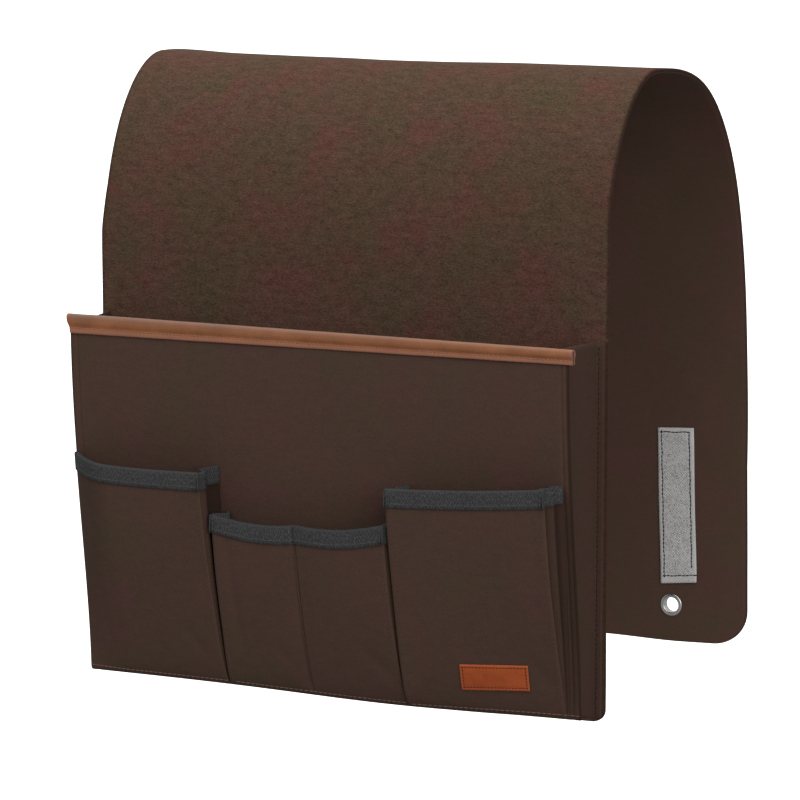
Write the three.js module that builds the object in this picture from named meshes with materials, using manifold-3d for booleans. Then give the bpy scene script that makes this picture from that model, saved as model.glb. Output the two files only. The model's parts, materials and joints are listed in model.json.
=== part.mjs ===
// Sofa armrest organizer: a felt strip that hangs over the arm of a sofa, with a magazine pocket and
// four small pockets on its front flap. Millimetres, +Z up, X along the width, -Y towards the pockets.
// Everything is laid out from the front hem (z = 0) and the front flap's outer face (y = 0), then the
// whole group is moved so that the origin is where the crown rests on the sofa arm.

import * as THREE from 'three';
import { mergeVertices } from 'three/addons/utils/BufferGeometryUtils.js';
import Module from 'manifold-3d';

const wasm = await Module();
wasm.setup();

const { lerp, clamp, degToRad } = THREE.MathUtils;

// Felt strip, seen from the side: front flap, shoulder, crown, shoulder, rear flap
const stripWidth = 330;
const frontDrop = 377;
const archDepth = 240;
const crownSetback = 76;
const frontFlatHeight = 266;
const rearFlatHeight = 120;
const frontShoulder = { riseShare: 0.55, runShare: 0.5 };
const rearShoulder = { riseShare: 0.86, runShare: 0.6 };
const feltThickness = 1.8;
const liningThickness = 0.9;
const clearance = 0.3;
const frontCornerRadius = 7;
const rearCornerRadius = 22;
const hemSag = 1.5;

// Where the strip folds over the two top edges of the sofa arm, measured up from each flap's flat part,
// and how far each flap swings there
const frontFoldRise = 26;
const rearFoldRise = 186;
const flapOutSwing = degToRad(30);
const flapInSwing = degToRad(12);

// Magazine pocket
const pocketHem = 6;
const pocketMouth = 227;
const pocketInset = 3;
const pocketMouthDepth = 47.5;
const pocketFootDepth = 25;
const pocketBelly = 0.85;
const pocketCloth = 1.6;
const floorHeight = 8;
const floorSeam = 3;

// Side walls of the pockets are thinner cloth, pleated inwards
const gussetCloth = 1.1;
const gussetFlange = 6;
const magazinePleat = 7;
const smallPleat = 5;

// Leather band on the magazine pocket's mouth, grey tape on the small mouths
const band = { height: 12, thickness: 1.3, overhang: 3 };
const mouthTape = { height: 11, thickness: 0.9 };

// Small pockets, from left to right: width, the mouth's height at both ends and how it dips, and the room
// behind both ends with how fast the cloth swells from the foot. The left pocket has no gusset on its
// left: its cloth wraps forward over a run instead. The right pocket takes the width that is left over.
const smallFoot = 7;
const smallGussetFoot = 16;
const pocketGap = 3.5;
const accordionSpread = 4.5;
const accordionMargin = 9;
const leftPocket = {
  width: 95, mouth: [143.5, 141.5], dip: 1.5, pinch: 0, room: [25, 25], swell: [0.6, 0.6], wrap: 36,
};
const twinPocket = {
  width: 117, mouth: [117, 119.5], dip: 3.5, pinch: 2, room: [21, 25.5], swell: [0.58, 0.58], wrap: 0,
};
const rightPocket = {
  mouth: [142, 147.5], dip: 1, pinch: 0, room: [26, 24], swell: [0.42, 0.75], wrap: 0,
};

// Label patch, fastening strips and eyelets
const label = {
  width: 42, height: 15.6, thickness: 1.2, across: 0.594, foot: 22.8, turn: degToRad(2),
};
const fastening = { width: 24, height: 101, thickness: 1.3, edgeInset: 33.5, foot: 36, corner: 1.5 };
const eyelet = { bore: 4.8, tube: 5.4, flange: 7, flangeThickness: 0.8, edgeInset: 49.5, hem: 22.5 };
const washerThickness = 0.7;
const curlWidth = 1;
const curlHeight = 0.8;

// Facets
const foldSteps = 8;
const crownSteps = 10;
const acrossSteps = 12;
const gussetSteps = 10;
const panelSteps = 14;
const pocketSteps = 10;
const wrapSteps = 6;
const swellSteps = 12;
const roundSides = 24;

// Sizes that follow from those above
const liningFace = feltThickness + clearance;
const stripThickness = liningFace + liningThickness;
const foldPivotDepth = feltThickness + clearance / 2;
const innerFace = archDepth - stripThickness;
const pocketHalf = stripWidth / 2 - pocketInset;
const eyeletHole = eyelet.tube + clearance;

const finish = (color, roughness, metalness = 0) =>
  new THREE.MeshStandardMaterial({ color, roughness, metalness });
const finishes = {
  felt: finish(0x54402f, 0.95),
  lining: finish(0x3a2c24, 0.85),
  cloth: finish(0x41302a, 0.92),
  tanLeather: finish(0x8a583e, 0.5),
  greyTape: finish(0x3a3a3c, 0.9),
  labelLeather: finish(0x80411f, 0.6),
  fasteningTape: finish(0x8b8b8a, 0.95),
  nickel: finish(0xc4c4c0, 0.3, 1),
};

// One group for each part of the organizer that moves as a whole
const object = new THREE.Group();
const [crown, frontFlap, rearFlap, magazinePocket] = Array.from({ length: 4 }, () => new THREE.Group());
object.add(crown, frontFlap, rearFlap);
frontFlap.add(magazinePocket);

function addPiece(group, name, geometry, material) {
  const mesh = new THREE.Mesh(geometry, material);
  mesh.name = name;
  group.add(mesh);
}

// A closed slab between two faces: place(u, v, w) gives the back face at w = 0 and the front at w = 1,
// where across, along and outwards make a right-handed set.
function slab(place, across, along) {
  const positions = [];
  const triangles = [];
  const at = (i, j, w) => (w * (along + 1) + j) * (across + 1) + i;
  const quad = (a, b, c, d) => triangles.push(a, b, c, a, c, d);
  for (const w of [0, 1]) {
    for (let j = 0; j <= along; j += 1) {
      for (let i = 0; i <= across; i += 1) {
        positions.push(...place(i / across, j / along, w).toArray());
      }
    }
  }
  for (let j = 0; j < along; j += 1) {
    for (let i = 0; i < across; i += 1) {
      quad(at(i, j, 1), at(i + 1, j, 1), at(i + 1, j + 1, 1), at(i, j + 1, 1));
      quad(at(i, j, 0), at(i, j + 1, 0), at(i + 1, j + 1, 0), at(i + 1, j, 0));
    }
    quad(at(0, j + 1, 0), at(0, j, 0), at(0, j, 1), at(0, j + 1, 1));
    quad(at(across, j, 0), at(across, j + 1, 0), at(across, j + 1, 1), at(across, j, 1));
  }
  for (let i = 0; i < across; i += 1) {
    quad(at(i, 0, 0), at(i + 1, 0, 0), at(i + 1, 0, 1), at(i, 0, 1));
    quad(at(i + 1, along, 0), at(i, along, 0), at(i, along, 1), at(i + 1, along, 1));
  }
  const geometry = new THREE.BufferGeometry();
  geometry.setAttribute('position', new THREE.Float32BufferAttribute(positions, 3));
  geometry.setIndex(triangles);
  geometry.computeVertexNormals();
  return geometry;
}

// Cutting holes with manifold-3d
function toSolid(geometry) {
  const bare = geometry.clone();
  bare.deleteAttribute('normal');
  bare.deleteAttribute('uv');
  const merged = mergeVertices(bare);
  const vertProperties = new Float32Array(merged.attributes.position.array);
  const triVerts = new Uint32Array(merged.index.array);
  return new wasm.Manifold(new wasm.Mesh({ numProp: 3, vertProperties, triVerts }));
}

function fromSolid(solid) {
  const { vertProperties, triVerts } = solid.getMesh();
  const geometry = new THREE.BufferGeometry();
  geometry.setAttribute('position', new THREE.BufferAttribute(new Float32Array(vertProperties), 3));
  geometry.setIndex(new THREE.BufferAttribute(new Uint32Array(triVerts), 1));
  geometry.computeVertexNormals();
  return geometry;
}

// The strip's outer line from the front hem over the crown to the rear hem, as (y, z)
const at2 = (y, z) => new THREE.Vector2(y, z);
const crownRise = frontDrop - frontFlatHeight;
const crownFall = frontDrop - rearFlatHeight;
const frontLine = new THREE.LineCurve(at2(0, 0), at2(0, frontFlatHeight));
const rearLine = new THREE.LineCurve(at2(archDepth, 0), at2(archDepth, rearFlatHeight));
const frontCurve = new THREE.CubicBezierCurve(
  at2(0, frontFlatHeight),
  at2(0, frontFlatHeight + frontShoulder.riseShare * crownRise),
  at2(crownSetback * (1 - frontShoulder.runShare), frontDrop),
  at2(crownSetback, frontDrop),
);
const rearCurve = new THREE.CubicBezierCurve(
  at2(archDepth, rearFlatHeight),
  at2(archDepth, rearFlatHeight + rearShoulder.riseShare * crownFall),
  at2(crownSetback + rearShoulder.runShare * (archDepth - crownSetback), frontDrop),
  at2(crownSetback, frontDrop),
);

// Both shoulder curves rise from their flap to the crown, so a height is found by halving
function paramAtHeight(curve, height) {
  let low = 0;
  let high = 1;
  for (let step = 0; step < 40; step += 1) {
    const middle = (low + high) / 2;
    if (curve.getPoint(middle).y < height) low = middle;
    else high = middle;
  }
  return (low + high) / 2;
}
const frontFold = paramAtHeight(frontCurve, frontFlatHeight + frontFoldRise);
const rearFold = paramAtHeight(rearCurve, rearFlatHeight + rearFoldRise);

// A point at a depth under the outer line; inwards is +1 on the front side and -1 on the rear side
function inStrip(curve, t, depth, inwards) {
  const along = curve.getTangent(t);
  return curve.getPoint(t).addScaledVector(at2(along.y, -along.x), depth * inwards);
}

// Curve parameter that a distance along the curve takes at t
function paramStep(curve, t, distance) {
  const near = 0.001;
  return distance * 2 * near / curve.getPoint(t + near).distanceTo(curve.getPoint(t - near));
}

// Half the strip's width at a height above a hem with rounded corners
function halfWidth(height, radius) {
  const drop = Math.max(0, radius - height);
  return stripWidth / 2 - radius + Math.sqrt(Math.max(0, radius * radius - drop * drop));
}

// The front hem hangs lowest in the middle, and the sag fades out towards the pocket's mouth
function sagged(point) {
  const middle = 1 - (2 * point.x / stripWidth) ** 2;
  const fade = clamp(1 - point.z / pocketMouth, 0, 1) ** 2;
  point.z -= hemSag * middle * fade;
  return point;
}

// One layer of a flap, from the hem up the flat and round the shoulder to the fold. Each face stops
// short of the fold by the wedge that the swing takes up.
function flapLayer({ line, curve, fold, flat, radius, inwards, across }, outerDepth, innerDepth) {
  const corner = [0, 0.04, 0.15, 0.32, 0.6, 1].map((share) => share * radius);
  const flatSteps = 6;
  const rest = Array.from({ length: flatSteps }, (_, i) => lerp(radius, flat, (i + 1) / flatSteps));
  const heights = [...corner, ...rest];
  const rows = heights.length + foldSteps;
  return slab((u, v, w) => {
    const depth = w === 1 ? outerDepth : innerDepth;
    const row = Math.round(v * (rows - 1));
    const onFlat = row < heights.length;
    const half = onFlat ? halfWidth(heights[row], radius) : stripWidth / 2;
    const x = inwards * (2 * u - 1) * half;
    const before = foldPivotDepth - depth;
    const wedge = clearance + Math.abs(before) * Math.tan(before > 0 ? flapOutSwing : flapInSwing);
    const end = fold - paramStep(curve, fold, wedge);
    const spot = onFlat
      ? inStrip(line, heights[row] / flat, depth, inwards)
      : inStrip(curve, end * (row - heights.length + 1) / foldSteps, depth, inwards);
    const point = new THREE.Vector3(x, spot.x, spot.y);
    return inwards > 0 ? sagged(point) : point;
  }, across, rows - 1);
}

const frontSide = {
  line: frontLine, curve: frontCurve, fold: frontFold, flat: frontFlatHeight,
  radius: frontCornerRadius, inwards: 1, across: acrossSteps,
};
const rearSide = {
  line: rearLine, curve: rearCurve, fold: rearFold, flat: rearFlatHeight,
  radius: rearCornerRadius, inwards: -1, across: 2,
};
addPiece(frontFlap, 'front_flap_felt', flapLayer(frontSide, 0, feltThickness), finishes.felt);
addPiece(frontFlap, 'front_flap_lining', flapLayer(frontSide, liningFace, stripThickness), finishes.lining);

// One layer of the crown, from fold to fold over the arm
function crownLayer(outerDepth, innerDepth) {
  return slab((u, v, w) => {
    const depth = w === 1 ? outerDepth : innerDepth;
    const step = Math.round(v * 2 * crownSteps) - crownSteps;
    const share = Math.abs(step) / crownSteps;
    const spot = step <= 0
      ? inStrip(frontCurve, lerp(1, frontFold, share), depth, 1)
      : inStrip(rearCurve, lerp(1, rearFold, share), depth, -1);
    return new THREE.Vector3((u - 0.5) * stripWidth, spot.x, spot.y);
  }, 2, 2 * crownSteps);
}
addPiece(crown, 'crown_felt', crownLayer(0, feltThickness), finishes.felt);
addPiece(crown, 'crown_lining', crownLayer(liningFace, stripThickness), finishes.lining);

// Rear flap, with a hole through both layers for each eyelet
const sides = [{ side: -1, name: 'left' }, { side: 1, name: 'right' }];
const eyeletX = (side) => side * (stripWidth / 2 - eyelet.edgeInset);

function drilled(geometry) {
  let solid = toSolid(geometry);
  for (const { side } of sides) {
    const drill = new THREE.CylinderGeometry(eyeletHole, eyeletHole, 4 * stripThickness, roundSides);
    drill.translate(eyeletX(side), archDepth, eyelet.hem);
    solid = solid.subtract(toSolid(drill));
  }
  return fromSolid(solid);
}
addPiece(rearFlap, 'rear_flap_felt', drilled(flapLayer(rearSide, 0, feltThickness)), finishes.felt);
addPiece(
  rearFlap, 'rear_flap_lining', drilled(flapLayer(rearSide, liningFace, stripThickness)), finishes.lining,
);

// Eyelets: a flanged tube set from the inner face, its end curled over a washer on the outer face
function lathe(profile) {
  return new THREE.LatheGeometry(profile.map(([r, y]) => new THREE.Vector2(r, y)), roundSides);
}
const flangeFoot = -clearance - eyelet.flangeThickness;
const washerFoot = stripThickness + clearance;
const curlFoot = washerFoot + washerThickness + clearance;
const boreChamfer = eyelet.flangeThickness / 2;
const flangeRound = 0.8;
for (const { side, name } of sides) {
  const barrel = lathe([
    [eyelet.bore, flangeFoot + boreChamfer],
    [eyelet.bore + boreChamfer, flangeFoot],
    [eyelet.flange - flangeRound, flangeFoot],
    [eyelet.flange, flangeFoot + boreChamfer],
    [eyelet.flange, -clearance],
    [eyelet.tube, -clearance],
    [eyelet.tube, curlFoot],
    [eyelet.tube + curlWidth, curlFoot],
    [eyelet.tube + curlWidth, curlFoot + curlHeight / 2],
    [eyelet.tube + curlWidth / 3, curlFoot + curlHeight],
    [eyelet.bore, curlFoot + curlHeight / 2],
    [eyelet.bore, flangeFoot + boreChamfer],
  ]);
  barrel.translate(eyeletX(side), innerFace, eyelet.hem);
  addPiece(rearFlap, `eyelet_barrel_${name}`, barrel, finishes.nickel);
  const washer = lathe([
    [eyeletHole, washerFoot],
    [eyelet.flange, washerFoot],
    [eyelet.flange, washerFoot + washerThickness / 2],
    [eyelet.flange - washerThickness / 2, washerFoot + washerThickness],
    [eyeletHole, washerFoot + washerThickness],
    [eyeletHole, washerFoot],
  ]);
  washer.translate(eyeletX(side), innerFace, eyelet.hem);
  addPiece(rearFlap, `eyelet_washer_${name}`, washer, finishes.nickel);
}

// Fastening strips, sewn to the rear flap's inner face
function roundedRectangle({ width, height, corner }) {
  const half = width / 2;
  const shape = new THREE.Shape();
  shape.moveTo(-half + corner, 0);
  shape.lineTo(half - corner, 0);
  shape.absarc(half - corner, corner, corner, -Math.PI / 2, 0);
  shape.absarc(half - corner, height - corner, corner, 0, Math.PI / 2);
  shape.absarc(-half + corner, height - corner, corner, Math.PI / 2, Math.PI);
  shape.absarc(-half + corner, corner, corner, Math.PI, 1.5 * Math.PI);
  return shape;
}
for (const { side, name } of sides) {
  const strip = new THREE.ExtrudeGeometry(roundedRectangle(fastening), {
    depth: fastening.thickness, bevelEnabled: false, curveSegments: 3,
  });
  strip.rotateX(Math.PI / 2);
  const x = side * (stripWidth / 2 - fastening.edgeInset - fastening.width / 2);
  strip.translate(x, innerFace - clearance, fastening.foot);
  addPiece(rearFlap, `fastening_strip_${name}`, strip, finishes.fasteningTape);
}

// A face in front of the flap is given by how far it stands before it at (x, z). The point lies at a
// distance square to that face, with the hem's sag laid over it.
function onFace(face, x, z, before) {
  const near = 0.5;
  const slopeX = (face(x + near, z) - face(x - near, z)) / (2 * near);
  const slopeZ = (face(x, z + near) - face(x, z - near)) / (2 * near);
  const length = Math.hypot(1, slopeX, slopeZ);
  return sagged(new THREE.Vector3(
    x - before * slopeX / length,
    -face(x, z) - before / length,
    z - before * slopeZ / length,
  ));
}

// Magazine pocket's front panel: nearly upright at the mouth, drawn in towards the foot
function panelFace(x, z) {
  const t = clamp((z - pocketHem) / (pocketMouth - pocketHem), 0, 1) ** pocketBelly;
  return lerp(pocketFootDepth, pocketMouthDepth, t * t * (3 - 2 * t));
}
const panelTop = pocketMouth - band.thickness - clearance;
addPiece(magazinePocket, 'magazine_panel', slab((u, v, w) => (
  onFace(panelFace, (2 * u - 1) * pocketHalf, lerp(pocketHem, panelTop, v), (w - 1) * pocketCloth)
), acrossSteps, panelSteps), finishes.cloth);

// Floor of the magazine pocket, from the panel's foot back to the front flap
const floorZ = (share) => lerp(floorHeight, floorSeam, share);
addPiece(frontFlap, 'magazine_floor', slab((u, v, w) => {
  const front = panelFace(0, floorHeight) - pocketCloth - clearance;
  const x = (2 * u - 1) * (pocketHalf - pocketCloth);
  return sagged(new THREE.Vector3(x, -lerp(front, clearance, v), floorZ(v) + (w - 1) * gussetCloth));
}, acrossSteps, 2), finishes.cloth);

// A pleated wall is a zigzag seen from above, from its front edge to its back edge. Each column gives
// its share of the way back, its x and y at a height, and the wall keeps its thickness round the pleats.
function pleatedWall(side, columns, foot, top, steps) {
  const square = (from, to) => {
    const run = to.clone().sub(from).normalize();
    return at2(run.y, -run.x);
  };
  const cornerOffset = (corners, i) => {
    const before = square(corners[Math.max(i - 1, 0)], corners[Math.max(i, 1)]);
    const last = corners.length - 1;
    const after = square(corners[Math.min(i, last - 1)], corners[Math.min(i + 1, last)]);
    const mitre = before.add(after).normalize();
    return mitre.multiplyScalar(side * gussetCloth / Math.max(0.5, mitre.dot(after)));
  };
  return slab((u, v, w) => {
    const i = Math.round(u * (columns.length - 1));
    const { share } = columns[i];
    const z = lerp(foot(share), top(share), v);
    const corners = columns.map(({ place }) => at2(...place(z)));
    const spot = corners[i].clone();
    if ((w === 1) === (side > 0)) spot.add(cornerOffset(corners, i));
    return sagged(new THREE.Vector3(spot.x, spot.y, z));
  }, columns.length - 1, steps);
}

// Side gussets of the magazine pocket: one inward pleat, and a flange sewn to the flap's edge
for (const { side, name } of sides) {
  const edge = stripWidth / 2 - gussetFlange;
  const reach = (z) => panelFace(0, z) - pocketCloth - clearance;
  const pleat = (z) => magazinePleat * clamp(z / (pocketMouth / 3), 0.3, 1);
  const column = (share, x, y) => ({ share, place: (z) => [side * x(z), -y(z)] });
  const columns = [
    column(0, () => pocketHalf - gussetCloth, reach),
    column(0.15, () => pocketHalf - gussetCloth, (z) => 0.85 * reach(z)),
    column(0.5, (z) => edge - pleat(z), (z) => 0.5 * reach(z)),
    column(1, () => edge, () => clearance),
    column(1, () => stripWidth / 2, () => clearance),
  ];
  const foot = (share) => floorZ(share) + clearance;
  const top = (share) => panelTop - (1 - share) * band.height - clearance;
  const wall = pleatedWall(side, columns, foot, top, gussetSteps);
  addPiece(frontFlap, `magazine_gusset_${name}`, wall, finishes.cloth);
}

// A strip folded over the top edge of a panel: up its front face, over the edge and down behind
function foldedOver(face, cloth, { height, thickness }, left, right, edgeAt, across) {
  const section = [
    { before: 0, rise: -height, out: 1, up: 0 },
    { before: 0, rise: -height / 2, out: 1, up: 0 },
    { before: 0, rise: 0, out: 1, up: 0.4 },
    { before: -cloth / 2, rise: clearance, out: 0, up: 1 },
    { before: -cloth, rise: 0, out: -1, up: 0.4 },
    { before: -cloth, rise: -height / 2, out: -1, up: 0 },
    { before: -cloth, rise: -height, out: -1, up: 0 },
  ];
  return slab((u, v, w) => {
    const { before, rise, out, up } = section[Math.round(v * (section.length - 1))];
    const x = lerp(left, right, u);
    const away = out * (clearance + w * thickness);
    return onFace(face, x, edgeAt(x) + rise + up * w * thickness, before + away);
  }, across, section.length - 1);
}
const bandHalf = pocketHalf + band.overhang;
addPiece(magazinePocket, 'magazine_mouth_band', foldedOver(
  panelFace, pocketCloth, band, -bandHalf, bandHalf, () => panelTop, 4,
), finishes.tanLeather);

// Small pockets stand side by side, and the last gusset fans out into the margin at the right
leftPocket.left = -pocketHalf;
leftPocket.right = leftPocket.left + leftPocket.width;
twinPocket.left = leftPocket.right + pocketGap;
twinPocket.right = twinPocket.left + twinPocket.width;
rightPocket.left = twinPocket.right + pocketGap;
rightPocket.right = pocketHalf - accordionMargin;

// Across a pocket, its mouth dips between its ends, and its room and swell change evenly
const shareAcross = ({ left, right }, x) => clamp((x - left) / (right - left), 0, 1);

function mouthHeight(pocket, x) {
  const share = shareAcross(pocket, x);
  const dip = pocket.dip * Math.sin(Math.PI * share);
  const pinch = pocket.pinch * Math.abs(Math.sin(2 * Math.PI * share));
  return lerp(...pocket.mouth, share) - dip - pinch;
}
const edgeHeight = (pocket, x) => mouthHeight(pocket, x) - mouthTape.thickness - clearance;

// The room behind a small pocket's cloth at (x, z)
function roomBehind(pocket, x, z) {
  const share = shareAcross(pocket, x);
  const t = clamp((z - smallFoot) / (mouthHeight(pocket, x) - smallFoot), 0, 1);
  const full = lerp(...pocket.room, share) * Math.sin(t * Math.PI / 2) ** lerp(...pocket.swell, share);
  const wrapped = pocket.wrap > 0 ? clamp((x - pocket.left) / pocket.wrap, 0, 1) : 1;
  return clearance + full * Math.sin(wrapped * Math.PI / 2);
}
const clothFace = (pocket) => (x, z) => panelFace(x, z) + roomBehind(pocket, x, z) + pocketCloth;

// Rows close together at the foot, where the cloth swells fastest
const swellRow = (v) => v ** 1.6;

function clothPanel(pocket, left, right, steps) {
  return slab((u, v, w) => {
    const x = lerp(left, right, u);
    const z = lerp(smallFoot, edgeHeight(pocket, x), swellRow(v));
    return onFace(clothFace(pocket), x, z, (w - 1) * pocketCloth);
  }, steps, swellSteps);
}

// A pleated side of a small pocket, from behind its cloth back to the magazine panel
function smallGusset(pocket, side, folds, spread) {
  const edge = side > 0 ? pocket.right : pocket.left;
  const room = side > 0 ? pocket.room[1] : pocket.room[0];
  const columns = Array.from({ length: folds + 2 }, (_, i) => {
    const share = i / (folds + 1);
    const turned = i > 0 && i <= folds;
    return {
      share,
      place: (z) => {
        const behind = roomBehind(pocket, edge, z);
        const open = clamp(behind / room, 0, 1);
        const pleat = turned && i % 2 === 1 ? smallPleat * open : 0;
        const x = edge + side * (share * spread * open - gussetCloth - pleat);
        return [x, -panelFace(x, z) - clearance - (1 - share) * (behind - 2 * clearance)];
      },
    };
  });
  const top = (share) => edgeHeight(pocket, edge) - clearance - (1 - share) * mouthTape.height;
  return pleatedWall(side, columns, () => smallGussetFoot, top, gussetSteps);
}

for (const [name, pocket] of Object.entries({
  left_pocket: leftPocket, twin_pocket: twinPocket, right_pocket: rightPocket,
})) {
  const from = pocket.left + pocket.wrap;
  pocket.group = new THREE.Group();
  magazinePocket.add(pocket.group);
  const front = clothPanel(pocket, from, pocket.right, pocketSteps);
  addPiece(pocket.group, `${name}_panel`, front, finishes.cloth);
  const edgeAt = (x) => edgeHeight(pocket, x);
  const tape = foldedOver(
    clothFace(pocket), pocketCloth, mouthTape, from, pocket.right, edgeAt, pocketSteps,
  );
  addPiece(pocket.group, `${name}_mouth_tape`, tape, finishes.greyTape);
}

// The left pocket's cloth runs back to the magazine panel's edge, and has a gusset on its right only
const wrapEnd = leftPocket.left + leftPocket.wrap - clearance;
const wrappedCloth = clothPanel(leftPocket, leftPocket.left, wrapEnd, wrapSteps);
addPiece(magazinePocket, 'left_pocket_side', wrappedCloth, finishes.cloth);
addPiece(magazinePocket, 'left_pocket_gusset', smallGusset(leftPocket, 1, 1, 0), finishes.cloth);
addPiece(magazinePocket, 'twin_pocket_gusset_left', smallGusset(twinPocket, -1, 1, 0), finishes.cloth);
addPiece(magazinePocket, 'twin_pocket_gusset_right', smallGusset(twinPocket, 1, 1, 0), finishes.cloth);
addPiece(magazinePocket, 'right_pocket_gusset_left', smallGusset(rightPocket, -1, 3, 0), finishes.cloth);
const accordion = smallGusset(rightPocket, 1, 3, accordionSpread);
addPiece(magazinePocket, 'right_pocket_gusset_right', accordion, finishes.cloth);

// Partition between the two compartments of the twin pocket
const partitionX = (twinPocket.left + twinPocket.right) / 2;
addPiece(magazinePocket, 'twin_pocket_partition', slab((u, v, w) => {
  const top = edgeHeight(twinPocket, partitionX) - mouthTape.height - clearance;
  const z = lerp(smallGussetFoot, top, v);
  const behind = roomBehind(twinPocket, partitionX, z);
  const y = -panelFace(partitionX, z) - clearance - (1 - u) * (behind - 2 * clearance);
  return sagged(new THREE.Vector3(partitionX + (w - 0.5) * gussetCloth, y, z));
}, 2, gussetSteps), finishes.cloth);

// Bare leather patch near the foot of the right pocket
const labelCentre = lerp(rightPocket.left, rightPocket.right, label.across);
addPiece(rightPocket.group, 'label_patch', slab((u, v, w) => {
  const spot = at2((u - 0.5) * label.width, (v - 0.5) * label.height).rotateAround(at2(0, 0), label.turn);
  const z = label.foot + label.height / 2 + spot.y;
  return onFace(clothFace(rightPocket), labelCentre + spot.x, z, clearance + w * label.thickness);
}, 6, 3), finishes.labelLeather);

// The origin is under the crown, where the strip rests on the sofa arm
object.position.set(0, -crownSetback, stripThickness - frontDrop);

export default object;
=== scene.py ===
"""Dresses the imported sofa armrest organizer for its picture.

A felt strip hangs over the arm of a sofa. Its front flap carries a gusseted magazine pocket with a leather
band, and three small pockets with grey mouth tapes stand before that. Shapes are laid out in millimetres
from the front hem (z = 0) and the front flap's outer face (y = 0), and moved to the part's frame at the end.
"""

from __future__ import annotations

import json
import logging
import math
from dataclasses import dataclass, field
from enum import Enum
from typing import Callable, Sequence

import bmesh
import bpy
import numpy as np
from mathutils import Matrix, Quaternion, Vector

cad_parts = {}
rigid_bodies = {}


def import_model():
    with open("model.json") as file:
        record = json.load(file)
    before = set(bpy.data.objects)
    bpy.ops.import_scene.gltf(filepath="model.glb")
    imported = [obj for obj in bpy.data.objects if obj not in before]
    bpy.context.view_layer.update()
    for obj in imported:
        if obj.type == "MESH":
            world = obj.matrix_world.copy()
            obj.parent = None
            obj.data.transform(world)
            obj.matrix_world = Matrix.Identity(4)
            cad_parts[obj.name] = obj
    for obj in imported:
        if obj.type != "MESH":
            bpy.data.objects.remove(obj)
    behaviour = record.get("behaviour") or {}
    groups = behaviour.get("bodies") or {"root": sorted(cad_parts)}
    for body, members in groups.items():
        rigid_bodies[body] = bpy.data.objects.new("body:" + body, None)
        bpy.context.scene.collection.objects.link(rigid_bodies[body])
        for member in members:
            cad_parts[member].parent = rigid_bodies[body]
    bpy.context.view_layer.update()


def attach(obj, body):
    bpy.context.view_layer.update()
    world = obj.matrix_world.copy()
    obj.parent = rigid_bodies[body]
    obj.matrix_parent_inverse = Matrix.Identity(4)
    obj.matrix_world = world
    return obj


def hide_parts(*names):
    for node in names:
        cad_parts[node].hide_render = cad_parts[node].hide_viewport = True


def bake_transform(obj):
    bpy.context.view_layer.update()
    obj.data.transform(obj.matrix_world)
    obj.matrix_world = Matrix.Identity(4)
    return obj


log = logging.getLogger("organizer")

MM = 0.001
PART_ORIGIN = np.array([0.0, -76.0, -374.0])
CLOTH_UV = "Cloth"
# Per-point mark of the finishes: positive near rims, negative in folds and shaded edges, for wear, painted
# shade and painted highlight.
EDGE = "edge"
THREAD_NORMAL = "thread_normal"

Pair = tuple[float, float]
Point = tuple[float, float, float]
Colour = tuple[float, float, float]
Shade = tuple[Pair, ...]
Grid = np.ndarray
Plan = tuple[Grid, Grid]
Line = Callable[[Grid], Grid]
Column = Callable[[Grid], Plan]
Face = Callable[[Grid, Grid], Grid]
Inputs = dict[str | int, object]
Socket = bpy.types.NodeSocket
Node = bpy.types.Node
Given = bpy.types.NodeOutputs
Tree = bpy.types.NodeTree
Mesh = bpy.types.Mesh
Piece = bpy.types.Object

WHITE: Colour = (1.0, 1.0, 1.0)
UNSHADED: Shade = ((0.0, 0.0),)
FOLDED = 0.05


class Side(Enum):
    """The two sides of the strip, or of a pocket."""

    FRONT = 1
    REAR = -1
    LEFT = -2
    RIGHT = 2

    @property
    def sign(self) -> int:
        """Minus one on the left or at the rear, one on the right or at the front."""
        return 1 if self.value > 0 else -1

    @property
    def word(self) -> str:
        """The side as the names of pieces have it."""
        return self.name.lower()

    def of(self, pair: tuple[object, object]) -> object:
        """Picks this side's value from a pair that holds the left one and the right one."""
        return pair[1] if self.sign > 0 else pair[0]


ENDS = (Side.LEFT, Side.RIGHT)


def lerp(a: float, b: float, t: Grid | float) -> Grid | float:
    """Goes evenly from a at t = 0 to b at t = 1."""
    return a + (b - a) * t


def unit(value: Grid | float) -> Grid | float:
    """Keeps a value between 0 and 1."""
    return np.clip(value, 0.0, 1.0)


def shares(count: int) -> Grid:
    """Gives even steps from 0 to 1."""
    return np.linspace(0.0, 1.0, count)


def stacked(*axes: Grid | float) -> Grid:
    """Joins places along each axis, spread to one shape, to points."""
    return np.stack(np.broadcast_arrays(*axes), axis=-1)


def in_part_frame(points: Grid) -> Grid:
    """Moves millimetres from the hem layout to metres in the part's frame."""
    return (points + PART_ORIGIN) * MM


def frame_point(x: float, y: float, z: float) -> Point:
    """Gives one point of the hem layout in the part's frame."""
    return tuple(in_part_frame(np.array([x, y, z])))


# Node trees


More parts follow.
